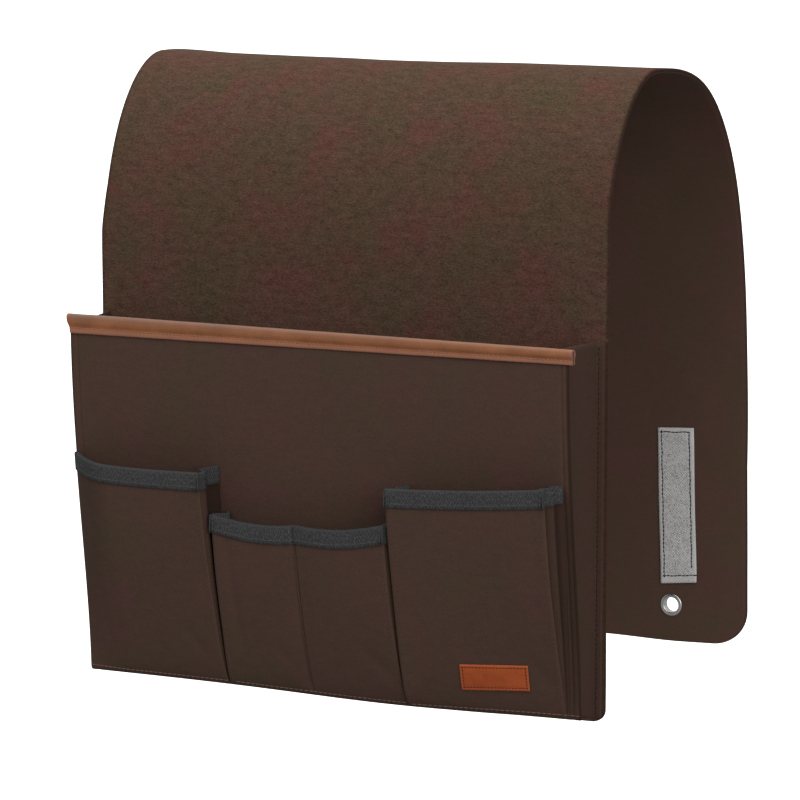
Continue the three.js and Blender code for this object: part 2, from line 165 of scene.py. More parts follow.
class Nodes:
    """Writes nodes into a material's, world's or geometry tree."""

    def __init__(self, tree: Tree) -> None:
        """Starts on a tree, whose nodes are removed."""
        self.tree = tree
        tree.nodes.clear()

    def add(self, kind: str, inputs: Inputs | None = None, **settings: object) -> Node:
        """Adds one node.

        Args:
            kind: The node's type name.
            inputs: Values or output sockets for its inputs, by name or number.
            settings: The node's own properties.

        Returns:
            The new node.
        """
        node = self.tree.nodes.new(kind)
        for key, value in settings.items():
            setattr(node, key, value)
        for key, value in (inputs or {}).items():
            if isinstance(value, Socket):
                self.tree.links.new(value, node.inputs[key])
            else:
                node.inputs[key].default_value = value
        return node

    def out(self, kind: str, inputs: Inputs | None = None, **settings: object) -> Socket:
        """Adds one node and gives its first output."""
        return self.add(kind, inputs, **settings).outputs[0]

    def math(self, operation: str, a: object, b: object = 0.0) -> Socket:
        """Adds a Math node and gives its output."""
        return self.out("ShaderNodeMath", {0: a, 1: b}, operation=operation)

    def times(self, a: object, b: object) -> Socket:
        """Multiplies two numbers."""
        return self.math("MULTIPLY", a, b)

    def mix(self, factor: object, a: object, b: object, blend: str = "MIX") -> Socket:
        """Mixes two colours and gives the output."""
        node = self.add("ShaderNodeMix", {0: factor, 6: a, 7: b}, data_type="RGBA", blend_type=blend)
        return node.outputs[2]

    def ramp(self, value: object, low: float, high: float) -> Socket:
        """Stretches a value so that low to high becomes 0 to 1."""
        return self.out("ShaderNodeMapRange", {"Value": value, "From Min": low, "From Max": high})

    def tones(self, value: object, span: Pair, dark: Colour, light: Colour) -> Socket:
        """Goes from a dark to a light colour as a value crosses a span."""
        return self.mix(self.ramp(value, *span), rgba(dark), rgba(light))

    def noise(self, vector: object, scale: float, detail: float = 2.0, **inputs: float) -> Socket:
        """Adds a noise texture and gives its value."""
        values = {"Vector": vector, "Scale": scale, "Detail": detail}
        values.update({key.title(): value for key, value in inputs.items()})
        return self.add("ShaderNodeTexNoise", values).outputs["Fac"]

    def cloth(self) -> Socket:
        """Gives the piece's cloth coordinates, in metres."""
        return self.out("ShaderNodeUVMap", uv_map=CLOTH_UV)

    def edge(self, operation: str, share: float) -> Socket:
        """Gives a share of the rim's mark, by MAXIMUM, or less than none of the folds' mark, by MINIMUM;
        finishes paint from them wear on leather, and shade and highlight on felt and cloth.
        """
        mark = self.add("ShaderNodeAttribute", attribute_name=EDGE).outputs["Fac"]
        return self.times(self.math(operation, mark, 0.0), share)

    def place(self, inputs: Inputs) -> Socket:
        """Joins numbers to a place or a turn."""
        return self.out("ShaderNodeCombineXYZ", inputs)

    def arch(self, start: Inputs, top: object, end: Inputs) -> Socket:
        """Adds a curve from one foot over a top to the other foot."""
        ends = {"Start": self.place(start), "Middle": self.place({2: top}), "End": self.place(end)}
        return self.out("GeometryNodeCurveQuadraticBezier", {"Resolution": 5, **ends})

    def yarn(self, path: object, radius: object, sides: int, capped: bool) -> Socket:
        """Makes a curve a round yarn."""
        ring = self.out("GeometryNodeCurvePrimitiveCircle", {"Resolution": sides, "Radius": radius})
        shape = {"Curve": path, "Profile Curve": ring, "Fill Caps": capped}
        return self.out("GeometryNodeCurveToMesh", shape)


# Finishes


def rgba(colour: Colour) -> tuple[float, ...]:
    """Adds a full alpha to a colour."""
    return (*colour, 1.0)


def tinted(colour: Colour, by: Colour) -> Colour:
    """Multiplies a colour by another."""
    return tuple(a * b for a, b in zip(colour, by))


@dataclass(frozen=True)
class Finish:
    """A named finish whose material is made once.

    Attributes:
        name: The material's name.
        slot: The record's material slot, or nothing for thread; not used.
        colour: The base colour, linear.
        roughness: The shader's roughness.
    """

    name: str
    slot: str
    colour: Colour
    roughness: float = 0.9

    def material(self) -> bpy.types.Material:
        """Gives the material, made when it is first asked for."""
        made = bpy.data.materials.get(self.name)
        if made is None:
            made = bpy.data.materials.new(self.name)
            made.use_nodes = True
            nodes = Nodes(made.node_tree)
            shader = nodes.add("ShaderNodeBsdfPrincipled", {"Roughness": self.roughness})
            self.paint(nodes, shader)
            nodes.add("ShaderNodeOutputMaterial", {"Surface": shader.outputs[0]})
            made.diffuse_color = rgba(self.colour)
        return made

    def paint(self, nodes: Nodes, shader: Node) -> None:
        """Fills in the principled shader, and adds the nodes that it reads."""
        shader.inputs["Base Color"].default_value = rgba(self.colour)

    def shades(self, spread: float) -> tuple[Colour, Colour]:
        """Gives the colour darker and lighter by a share."""
        return tinted(self.colour, (1.0 - spread,) * 3), tinted(self.colour, (1.0 + spread,) * 3)

    def cover(
        self, nodes: Nodes, shader: Node, colour: Socket, relief: Socket, strength: float, depth: float
    ) -> None:
        """Connects the surface's colour and its relief, of a strength and a depth in metres."""
        nodes.tree.links.new(colour, shader.inputs["Base Color"])
        bump = nodes.out("ShaderNodeBump", {"Height": relief, "Strength": strength, "Distance": depth})
        nodes.tree.links.new(bump, shader.inputs["Normal"])


@dataclass(frozen=True)
class FeltFinish(Finish):
    """Brushed felt or cloth: a short nap, soft clouds of warmer and greener brown, edges painted darker on
    felt as shade and lighter on cloth as a highlight, and folds painted darker as shade.

    Attributes:
        grain: How far light and dark fibres differ.
        nap: Strength of the nap's relief.
        cloud: How far the clouds of colour go.
        edge: How far the edges take the colour of the rim: painted shade on felt and lining, a painted
            highlight on cloth.
        rim: Tint of the edges, as warm and cool are of the clouds and depth is of the folds.
        combing: How the nap is stretched along and across the cloth.
        fibres: Fibres to the metre, as tufts, clouds and hues are too.
        tufted: Share of the tufts in the grain.
        deep: How far the folds take the colour of the depth, as painted shade.
    """

    grain: float = 0.5
    nap: float = 0.5
    cloud: float = 0.85
    edge: float = 0.6
    rim: Colour = (0.3, 0.28, 0.3)
    warm: Colour = (1.2, 0.87, 0.98)
    cool: Colour = (0.86, 1.03, 0.86)
    combing: Point = (0.6, 1.25, 1.0)
    fibres: float = 1000.0
    tufts: float = 200.0
    clouds: float = 34.0
    hues: float = 19.0
    tufted: float = 0.32
    deep: float = 0.75
    depth: Colour = (0.3, 0.28, 0.27)

    def paint(self, nodes: Nodes, shader: Node) -> None:
        """Fills in the shader with the nap, its clouds, its edges' painted shade on felt and highlight on
        cloth, and its folds' painted shade.
        """
        where = nodes.cloth()
        combed = nodes.out("ShaderNodeMapping", {"Vector": where, "Scale": self.combing})
        fibre = nodes.noise(combed, self.fibres, 3.0, roughness=0.8, distortion=0.8)
        tuft = nodes.noise(combed, self.tufts, 3.0, roughness=0.65)
        cloud = nodes.noise(where, self.clouds, 4.0, roughness=0.6)
        hue = nodes.noise(where, self.hues, 5.0, roughness=0.6)
        dark, light = self.shades(self.grain)
        grain = nodes.tones(fibre, (0.34, 0.66), dark, light)
        grain = nodes.mix(self.tufted, grain, nodes.tones(tuft, (0.3, 0.7), dark, light))
        cast = nodes.tones(hue, (0.42, 0.58), self.warm, self.cool)
        tint = nodes.mix(nodes.times(nodes.ramp(cloud, 0.3, 0.6), self.cloud), rgba(WHITE), cast)
        colour = nodes.mix(1.0, grain, tint, "MULTIPLY")
        # Painted at the rims: shade on felt and lining, a highlight on cloth.
        cut = nodes.times(nodes.math("POWER", nodes.edge("MAXIMUM", 1.0), 3.0), self.edge)
        colour = nodes.mix(cut, colour, rgba(tinted(self.colour, self.rim)))
        # Painted shade in the folds and on edges marked as shaded.
        colour = nodes.mix(nodes.edge("MINIMUM", -self.deep), colour, rgba(tinted(self.colour, self.depth)))
        shader.inputs["Specular IOR Level"].default_value = 0.05
        relief = nodes.math("ADD", fibre, nodes.times(tuft, 0.8))
        self.cover(nodes, shader, colour, relief, self.nap, 0.0004)


@dataclass(frozen=True)
class WovenFinish(Finish):
    """Plain woven cloth or tape with flecked yarns.

    Attributes:
        yarn: Yarns to the metre.
        fleck: Colour of the light flecks.
        flecked: Share of the surface that is flecked.
        gap: How far the gaps between the yarns are darker.
    """

    yarn: float = 1100.0
    fleck: Colour = (0.1, 0.1, 0.1)
    flecked: float = 0.4
    gap: float = 0.35

    def paint(self, nodes: Nodes, shader: Node) -> None:
        """Fills in the shader with the weave and its flecks."""
        where = nodes.cloth()
        apart = nodes.add("ShaderNodeSeparateXYZ", {0: where})
        turns = [
            nodes.math("SINE", nodes.times(apart.outputs[axis], self.yarn * math.pi)) for axis in range(2)
        ]
        weave = nodes.times(*turns)
        fleck = nodes.noise(where, 1000.0, 3.0, roughness=0.75)
        cloud = nodes.noise(where, 60.0, 2.0)
        ground = nodes.tones(cloud, (0.3, 0.7), tinted(self.colour, (0.8,) * 3), self.colour)
        share = nodes.times(nodes.ramp(fleck, 0.42, 0.68), self.flecked)
        colour = nodes.mix(share, ground, rgba(self.fleck))
        between = nodes.times(nodes.ramp(weave, 0.2, -0.8), self.gap)
        colour = nodes.mix(between, colour, rgba(tinted(self.colour, (self.gap,) * 3)))
        shader.inputs["Specular IOR Level"].default_value = 0.1
        self.cover(nodes, shader, colour, nodes.math("ADD", weave, fleck), 0.5, 0.00025)


@dataclass(frozen=True)
class LeatherFinish(Finish):
    """Coated leather: a fine pebble grain, tone that wanders, edges worn lighter and marked places duller
    and greyer.

    Attributes:
        worn: Colour of the worn edges.
        dull: Colour of the places marked below none, on the band its roll's top.
        grain: Pebbles to the metre.
        dark: Tint of the darker places.
        light: Tint of the lighter places.
    """

    worn: Colour = (0.4, 0.2, 0.12)
    dull: Colour = (0.108, 0.065, 0.05)
    grain: float = 900.0
    dark: Colour = (0.78, 0.74, 0.7)
    light: Colour = (1.2, 1.22, 1.25)

    def paint(self, nodes: Nodes, shader: Node) -> None:
        """Fills in the shader with grain, tone and worn edges."""
        where = nodes.cloth()
        cells = {"Vector": where, "Scale": self.grain}
        pebble = nodes.out("ShaderNodeTexVoronoi", cells, feature="SMOOTH_F1")
        tone = nodes.noise(where, 45.0, 3.0, roughness=0.6)
        crease = nodes.noise(where, 300.0, 3.0, distortion=1.2)
        dark = tinted(self.colour, self.dark)
        colour = nodes.tones(tone, (0.3, 0.7), dark, tinted(self.colour, self.light))
        colour = nodes.mix(nodes.times(nodes.ramp(crease, 0.55, 0.8), 0.25), colour, rgba(dark))
        colour = nodes.mix(nodes.edge("MAXIMUM", 0.8), colour, rgba(self.worn))
        colour = nodes.mix(nodes.edge("MINIMUM", -1.0), colour, rgba(self.dull))
        rough = nodes.math("ADD", nodes.times(tone, 0.18), self.roughness - 0.09)
        nodes.tree.links.new(rough, shader.inputs["Roughness"])
        shader.inputs["Specular IOR Level"].default_value = 0.15
        relief = nodes.math("ADD", pebble, nodes.times(crease, 0.8))
        self.cover(nodes, shader, colour, relief, 0.35, 0.0002)


@dataclass(frozen=True)
class ThreadFinish(Finish):
    """Twisted sewing thread."""

    def paint(self, nodes: Nodes, shader: Node) -> None:
        """Fills in the shader with the thread's fine tone."""
        where = nodes.add("ShaderNodeTexCoord").outputs["Object"]
        twist = nodes.noise(where, 2600.0, 1.0)
        colour = nodes.tones(twist, (0.35, 0.65), *self.shades(0.25))
        shader.inputs["Specular IOR Level"].default_value = 0.1
        self.cover(nodes, shader, colour, twist, 0.3, 0.0001)


@dataclass(frozen=True)
class MetalFinish(Finish):
    """Nickel plate with fine handling marks."""

    def paint(self, nodes: Nodes, shader: Node) -> None:
        """Fills in the shader with the plate's marks."""
        where = nodes.add("ShaderNodeTexCoord").outputs["Object"]
        mark = nodes.noise(where, 700.0, 3.0, roughness=0.6)
        dull = nodes.noise(where, 160.0, 2.0)
        colour = nodes.tones(dull, (0.3, 0.7), tinted(self.colour, (0.8, 0.8, 0.78)), self.colour)
        shader.inputs["Metallic"].default_value = 1.0
        rough = nodes.math("ADD", nodes.times(mark, 0.25), self.roughness - 0.1)
        nodes.tree.links.new(rough, shader.inputs["Roughness"])
        self.cover(nodes, shader, colour, mark, 0.08, 0.0001)


CLOTH_CAST = {"warm": (1.1, 0.92, 1.06), "cool": (0.92, 1.03, 0.9)}
# Felt and lining keep the dark rim tint: painted shade along their edges.
FELT = FeltFinish("brown_felt", "felt", (0.0555, 0.0328, 0.0222), 1.0, grain=0.6)
LINING = FeltFinish(
    "dark_lining", "lining", (0.0605, 0.0356, 0.0262), 1.0, grain=0.1, nap=0.15, edge=0.5, **CLOTH_CAST
)
# The cloth's light rim tint paints a highlight along its edges.
CLOTH = FeltFinish(
    "brown_cloth", "pocket_cloth", (0.05, 0.0298, 0.0222), 1.0,
    grain=0.16, nap=0.3, rim=(1.15, 1.13, 1.1), **CLOTH_CAST,
)
TAN = LeatherFinish("band_leather", "tan_leather", (0.192, 0.073, 0.03), 0.6, worn=(0.19, 0.083, 0.058))
PATCH = LeatherFinish("patch_leather", "label_leather", (0.25, 0.05, 0.0125), 0.7, worn=(0.28, 0.07, 0.022))
TAPE = WovenFinish(
    "mouth_tape", "grey_tape", (0.029, 0.029, 0.0305), 1.0, fleck=(0.075, 0.075, 0.078), flecked=0.72
)
LOOPS = WovenFinish("loop_tape", "fastening_tape", (0.46, 0.455, 0.45), 1.0, fleck=(0.57, 0.56, 0.545))
PILE = ThreadFinish("pile_thread", "", (0.46, 0.46, 0.455), 1.0)
NICKEL = MetalFinish("nickel_plate", "nickel", (0.42, 0.42, 0.41), 0.32)
CLOTH_THREAD = ThreadFinish("cloth_thread", "", (0.062, 0.037, 0.029), 0.9)
HEM_THREAD = ThreadFinish("hem_thread", "", (0.12, 0.075, 0.055), 0.9)
BROWN_THREAD = ThreadFinish("brown_thread", "", (0.022, 0.0125, 0.009), 0.9)
TAN_THREAD = ThreadFinish("tan_thread", "", (0.2, 0.095, 0.05), 0.8)
GREY_THREAD = ThreadFinish("grey_thread", "", (0.055, 0.055, 0.058), 0.9)
DARK_THREAD = ThreadFinish("dark_thread", "", (0.015, 0.014, 0.016), 0.9)
RED_THREAD = ThreadFinish("patch_thread", "", (0.05, 0.012, 0.005), 0.9)


# Shapes shared by the pieces


@dataclass(frozen=True)
class Crease:
    """A soft fold pressed into cloth between two points of its face.

    Attributes:
        start: One end, as (x, z).
        end: The other end.
        width: How wide the fold is.
        depth: How far it goes in, or out if negative.
    """

    start: Pair
    end: Pair
    width: float
    depth: float

    def at(self, x: Grid, z: Grid) -> Grid:
        """Gives how far the fold pushes the face back at each (x, z)."""
        a, b = np.array(self.start), np.array(self.end)
        run = b - a
        length = float(run @ run)
        t = unit(((x - a[0]) * run[0] + (z - a[1]) * run[1]) / length)
        away = np.hypot(x - a[0] - t * run[0], z - a[1] - t * run[1])
        ends = np.sin(np.pi * t) ** 0.5
        return self.depth * ends * np.exp(-((away / self.width) ** 2))


def wander(x: Grid, z: Grid, size: float, seed: float) -> Grid:
    """Gives a gentle unevenness between about -1 and 1, in waves of a size."""
    k = 2 * np.pi / size
    return (
        np.sin(k * (0.83 * x + 0.31 * z) + 1.7 * seed)
        + np.sin(k * (-0.44 * x + 0.71 * z) + 2.9 * seed)
        + 0.6 * np.sin(k * (1.63 * x - 1.21 * z) + 4.3 * seed)
    ) / 2.6


@dataclass(frozen=True)
class Swell:
    """A soft rise across the strip.

    Attributes:
        middle: Where it is highest.
        reach: How far it goes to each side.
        height: How high it is, or how deep if negative.
    """

    middle: float
    reach: float
    height: float

    def at(self, x: Grid) -> Grid:
        """Gives its height at places across."""
        return self.height * np.exp(-(((x - self.middle) / self.reach) ** 2))


@dataclass(frozen=True)
class StripSizes:
    """The felt strip's sizes, as the frame has them, and how it lies after use."""

    width: float = 332.5
    drop: float = 377.0
    depth: float = 240.0
    setback: float = 76.0
    front_flat: float = 266.0
    rear_flat: float = 120.0
    front_shoulder: Pair = (0.55, 0.5)
    rear_shoulder: Pair = (0.86, 0.6)
    felt: float = 1.95
    lining: float = 1.04
    front_corner: float = 7.0
    rear_corner: float = 22.0
    eyelet_x: float = 115.5
    eyelet_z: float = 22.5
    sag: float = 2.6
    sag_top: float = 227.0
    crown_edge: Swell = Swell(-166.0, 28.0, 1.6)
    crown_dip: Swell = Swell(-10.0, 55.0, -0.8)
    crown_from: Pair = (300.0, 60.0)
    rear_hang: Swell = Swell(115.0, 30.0, -1.1)
    rear_hang_top: float = 45.0
    front_widths: tuple[Point, Point] = ((275.0, 288.0, 302.0), (332.5, 330.8, 329.4))
    rear_widths: tuple[Point, Point] = ((20.0, 60.0, 115.0), (332.5, 331.4, 329.4))

    @property
    def thickness(self) -> float:
        """Both layers together."""
        return self.felt + self.lining

    def eased(self, points: Grid, side: Side) -> Grid:
        """Lets the cut cloth lie as it does after use: a raised crown edge, a dip, and the hung hems."""
        x, z = points[..., 0], points[..., 2]
        foot, rise = self.crown_from
        top = unit((z - foot) / rise)
        eased = points.copy()
        eased[..., 2] += top * (self.crown_edge.at(x) + self.crown_dip.at(x))
        if side is Side.FRONT:
            return self.sagged(eased)
        eased[..., 2] += self.rear_hang.at(x) * unit(1.0 - z / self.rear_hang_top)
        return eased

    def sagged(self, points: Grid) -> Grid:
        """Lowers points with the front hem, which hangs lowest a little right of the middle."""
        middle = np.exp(-((4.0 * points[..., 0] / self.width - 0.5) ** 2))
        fade = unit(1.0 - points[..., 2] / self.sag_top) ** 2
        hung = points.copy()
        hung[..., 2] -= self.sag * middle * fade
        return hung


STRIP = StripSizes()


@dataclass(frozen=True)
class PocketSizes:
    """Sizes of the magazine pocket, and of what the small pockets share."""

    hem: float = 6.0
    mouth: float = 227.0
    inset: float = 4.25
    mouth_depth: float = 47.5
    foot_depth: float = 25.0
    belly: float = 0.85
    cloth: float = 1.6
    gusset: float = 1.1
    flange: float = 6.0
    pleat: float = 7.0
    floor_front: float = 8.0
    floor_back: float = 3.0
    floor_sag: float = 1.2
    band: float = 12.0
    band_edge: float = 1.6
    tape: float = 10.0
    tape_thickness: float = 0.9
    small_foot: float = 7.0
    small_gusset_foot: float = 8.5
    small_pleat: float = 5.0
    swollen: float = 1.8
    small_gap: float = 0.05
    small_press: Pair = (0.45, 60.0)
    wrap_press: Pair = (0.5, 8.0)

    @property
    def half(self) -> float:
        """Half the magazine pocket's width."""
        return STRIP.width / 2 - self.inset

    @property
    def panel_top(self) -> float:
        """Height of the magazine panel's cut edge, inside the band."""
        return self.mouth - self.band_edge

    @property
    def wall_top(self) -> float:
        """Height of the magazine pocket's side walls."""
        return self.panel_top - 1.0

    def face(self, x: Grid, z: Grid) -> Grid:
        """Gives how far the magazine panel stands before the flap, smooth as sewn."""
        t = unit((z - self.hem) / (self.mouth - self.hem)) ** self.belly
        return lerp(self.foot_depth, self.mouth_depth, t * t * (3 - 2 * t)) + 0.0 * x


POCKET = PocketSizes()


def on_face(face: Face, x: Grid, z: Grid, before: Grid | float) -> Grid:
    """Places points at a distance square to a face that stands before the front flap.

    Args:
        face: How far the face stands before the flap at (x, z).
        x: Places across.
        z: Heights above the hem.
        before: Distance in front of the face.

    Returns:
        The points, with the hem's sag laid over them.
    """
    near = 0.5
    x, z = np.broadcast_arrays(x, z)
    slope_x = (face(x + near, z) - face(x - near, z)) / (2 * near)
    slope_z = (face(x, z + near) - face(x, z - near)) / (2 * near)
    length = np.sqrt(1 + slope_x**2 + slope_z**2)
    y = -face(x, z) - before / length
    return STRIP.sagged(stacked(x - before * slope_x / length, y, z - before * slope_z / length))


def face_normals(face: Face, x: Grid, z: Grid) -> Grid:
    """Gives the directions square to a face at (x, z)."""
    away = on_face(face, x, z, 1.0) - on_face(face, x, z, 0.0)
    return away / np.linalg.norm(away, axis=-1, keepdims=True)


# Meshes


def linked(name: str, data: bpy.types.ID) -> Piece:
    """Adds an object with its data to the scene."""
    made = bpy.data.objects.new(name, data)
    bpy.context.scene.collection.objects.link(made)
    return made


def finished_object(name: str, mesh: Mesh, finish: Finish) -> Piece:
    """Makes a mesh a piece with its finish."""
    piece = linked(name, mesh)
    mesh.materials.clear()
    mesh.materials.append(finish.material())
    return piece


def mesh_of(name: str, points: Grid, edges: Sequence = (), faces: Sequence = ()) -> Mesh:
    """Makes a mesh from points of the hem layout."""
    mesh = bpy.data.meshes.new(name)
    mesh.from_pydata(in_part_frame(points).tolist(), edges, faces)
    return mesh


def plain(piece: Piece) -> None:
    """Keeps what a piece's modifiers make as its plain mesh."""
    graph = bpy.context.evaluated_depsgraph_get()
    made = bpy.data.meshes.new_from_object(piece.evaluated_get(graph))
    piece.modifiers.clear()
    piece.data = made
    made.name = piece.name


def lay_cloth(mesh: Mesh, coords: Grid, edges: Grid) -> None:
    """Gives each point of a mesh its place on the cloth, in metres, and its mark for edges and folds."""
    corners = np.empty(len(mesh.loops), np.int32)
    mesh.loops.foreach_get("vertex_index", corners)
    layer = mesh.uv_layers.new(name=CLOTH_UV)
    layer.data.foreach_set("uv", coords[corners].astype(np.float32).ravel())
    mesh.attributes.new(EDGE, "FLOAT", "POINT").data.foreach_set("value", edges.astype(np.float32))


def near_edges(outer: Grid, border: float, joined: bool) -> Grid:
    """Gives how near its edges each point of a layer lies, from 1 at an edge to 0 past the border."""
    edges = [outer[:, :1], outer[:, -1:], outer[-1:]] + ([] if joined else [outer[:1]])
    gaps = [np.linalg.norm(outer - edge, axis=-1) for edge in edges]
    return unit(1.0 - np.min(gaps, axis=0).ravel() / border)


def crease_join(mesh: Mesh, count: int, cols: int) -> None:
    """Keeps the edges of a layer's joined row sharp, so that the cloth shades on into the next piece."""
    ends = np.empty(2 * len(mesh.edges), np.int32)
    mesh.edges.foreach_get("vertices", ends)
    pairs = ends.reshape(-1, 2)
    sharp = (pairs % count < cols).all(1) & (pairs < 2 * count).all(1)
    mesh.attributes.new("sharp_edge", "BOOLEAN", "EDGE").data.foreach_set("value", sharp)


def shell(
    name: str, outer: Grid, inner: Grid, uv: Grid, finish: Finish, push: float = 0.35, border: float = 5.0,
    joined: bool = False, folds: Grid | None = None, pressed: bool = False,
) -> Piece:
    """Makes a closed layer of cloth between two grids of points, with a rounded rim.

    Args:
        name: The piece's name.
        outer: Points of one face, rows by columns, in the hem layout.
        inner: Points of the other face.
        uv: Cloth coordinates of the same points, in millimetres.
        finish: The finish.
        push: How far the rim's middle stands out.
        border: Width of the border that the edge attribute marks.
        joined: Whether the first row meets another piece of the same cloth, so that it has no edge there.
        folds: How deep in a fold each point lies, from 0 to 1, which the finish paints as shade.
        pressed: Whether the rim takes the painted shade of the folds that reach it.

    Returns:
        The new piece.
    """
    rows, cols = outer.shape[:2]
    index = np.arange(rows * cols).reshape(rows, cols)
    loop = np.concatenate([index[0, :-1], index[:-1, -1], index[-1, :0:-1], index[:0:-1, 0]])
    middle = (outer + inner) / 2
    j, i = np.divmod(loop, cols)
    inside = middle[np.clip(j, 1, rows - 2), np.clip(i, 1, cols - 2)]
    out = middle[j, i] - inside
    out /= np.maximum(np.linalg.norm(out, axis=-1, keepdims=True), 1e-9)
    if joined:
        out[j == 0] = 0.0
    rim = middle[j, i] + out * push
    points = np.concatenate([outer.reshape(-1, 3), inner.reshape(-1, 3), rim])
    count = rows * cols
    a, b = index[:-1, :-1].ravel(), index[:-1, 1:].ravel()
    c, d = index[1:, 1:].ravel(), index[1:, :-1].ravel()
    ring, after = np.arange(len(loop)) + 2 * count, np.roll(np.arange(len(loop)), -1)
    quads = [
        stacked(a, b, c, d),
        stacked(d, c, b, a) + count,
        stacked(loop, ring, ring[after], loop[after]),
        stacked(ring, loop + count, loop[after] + count, ring[after]),
    ]
    mesh = mesh_of(name, points, faces=np.concatenate(quads).tolist())
    edge = near_edges(outer, border, joined)
    rim_edge = np.where((j == 0) & joined & (i > 0) & (i < cols - 1), 0.0, 1.0)
    # Painted shade: the folds' mark, and where pressed the rim's, darkens the finish.
    if folds is not None:
        edge = np.where(folds.ravel() > FOLDED, -folds.ravel(), edge)
        rim_edge = np.where(pressed & (folds[j, i] > FOLDED), -folds[j, i], rim_edge)
    flat = uv.reshape(-1, 2)
    lay_cloth(mesh, np.concatenate([flat, flat, flat[loop]]) * MM, np.concatenate([edge, edge, rim_edge]))
    if joined:
        crease_join(mesh, count, cols)
    outwards(mesh)
    return finished_object(name, mesh, finish)


def outwards(mesh: Mesh) -> None:
    """Turns a closed mesh's faces outwards and shades them smooth."""
    work = bmesh.new()
    work.from_mesh(mesh)
    bmesh.ops.recalc_face_normals(work, faces=work.faces)
    work.to_mesh(mesh)
    work.free()
    mesh.shade_smooth()
    mesh.update()


def spacing(length: float, step: float) -> int:
    """Gives the number of points at about a step along a length."""
    return max(3, int(round(length / step)) + 1)


# Stitches


@dataclass(frozen=True)
class Stitch:
    """How a seam is sewn.

    Attributes:
        finish: The thread.
        pitch: From one stitch to the next.
        length: Length of the thread that shows.
        radius: The thread's radius.
        rise: How far a stitch's middle stands off the cloth.
    """

    finish: Finish
    pitch: float = 3.2
    length: float = 2.5
    radius: float = 0.28
    rise: float = 0.25


HEM_STITCH = Stitch(HEM_THREAD)
FLANGE_STITCH = Stitch(BROWN_THREAD, pitch=2.9, length=2.1, radius=0.34)
EDGE_STITCH = Stitch(CLOTH_THREAD, 2.8, 2.1, 0.22, 0.16)
BAND_STITCH = Stitch(TAN_THREAD, pitch=2.6, length=1.4, radius=0.42, rise=0.22)
TAPE_STITCH = Stitch(GREY_THREAD, pitch=2.4, length=1.9, radius=0.24, rise=0.16)
STRIP_STITCH = Stitch(DARK_THREAD, pitch=2.6, length=2.2, radius=0.36, rise=0.25)
PATCH_STITCH = Stitch(RED_THREAD, pitch=2.1, length=1.5, radius=0.24, rise=0.16)


@dataclass
class Seam:
    """A row of stitches along points of a surface.

    Attributes:
        points: Points on the cloth, in the hem layout.
        normals: The directions away from the cloth there.
    """

    points: Grid
    normals: Grid

    @classmethod
    def on(cls, face: Face, x: Grid, z: Grid, before: float = 0.05) -> Seam:
        """Lays a seam along (x, z) on a face."""
        return cls(on_face(face, x, z, before), face_normals(face, x, z))

    @classmethod
    def upright(cls, points: Grid, side: Side) -> Seam:
        """Lays a seam along points of cloth that stands upright and faces the front or the rear."""
        return cls(points, np.tile([0.0, -float(side.sign), 0.0], (len(points), 1)))


class PieceTree:
    """A geometry tree, with named inputs for its sizes, that grows one kind of piece."""

    NAME = ""
    INPUTS: dict[str, str] = {}

    def __init__(self) -> None:
        """Builds the tree once, for every piece to use."""
        self.tree = bpy.data.node_groups.new(self.NAME, "GeometryNodeTree")
        face = self.tree.interface
        face.new_socket("Geometry", in_out="INPUT", socket_type="NodeSocketGeometry")
        self.ids = {
            name: face.new_socket(name, in_out="INPUT", socket_type=f"NodeSocket{kind}").identifier
            for name, kind in {**self.INPUTS, "Finish": "Material"}.items()
        }
        face.new_socket("Geometry", in_out="OUTPUT", socket_type="NodeSocketGeometry")
        nodes = Nodes(self.tree)
        given = nodes.add("NodeGroupInput").outputs
        real = nodes.out("GeometryNodeRealizeInstances", {0: self.lay_out(nodes, given)})
        smooth = nodes.out("GeometryNodeSetShadeSmooth", {0: real})
        dressed = {"Geometry": smooth, "Material": given["Finish"]}
        nodes.add("NodeGroupOutput", {0: nodes.out("GeometryNodeSetMaterial", dressed)})

    def lay_out(self, nodes: Nodes, given: Given) -> Socket:
        """Adds the nodes that make the shape from the tree's inputs."""
        raise NotImplementedError

    def grown(self, mesh: Mesh, **values: object) -> Piece:
        """Runs the tree on a mesh and keeps the result as a piece's plain mesh.

        Args:
            mesh: The mesh that the tree starts from, with the piece's name.
            values: The tree's inputs by name.

        Returns:
            The piece with its final mesh.
        """
        piece = linked(mesh.name, mesh)
        modifier = piece.modifiers.new("grown", "NODES")
        modifier.node_group = self.tree
        for key, value in values.items():
            modifier[self.ids[key]] = value
        plain(piece)
        return piece


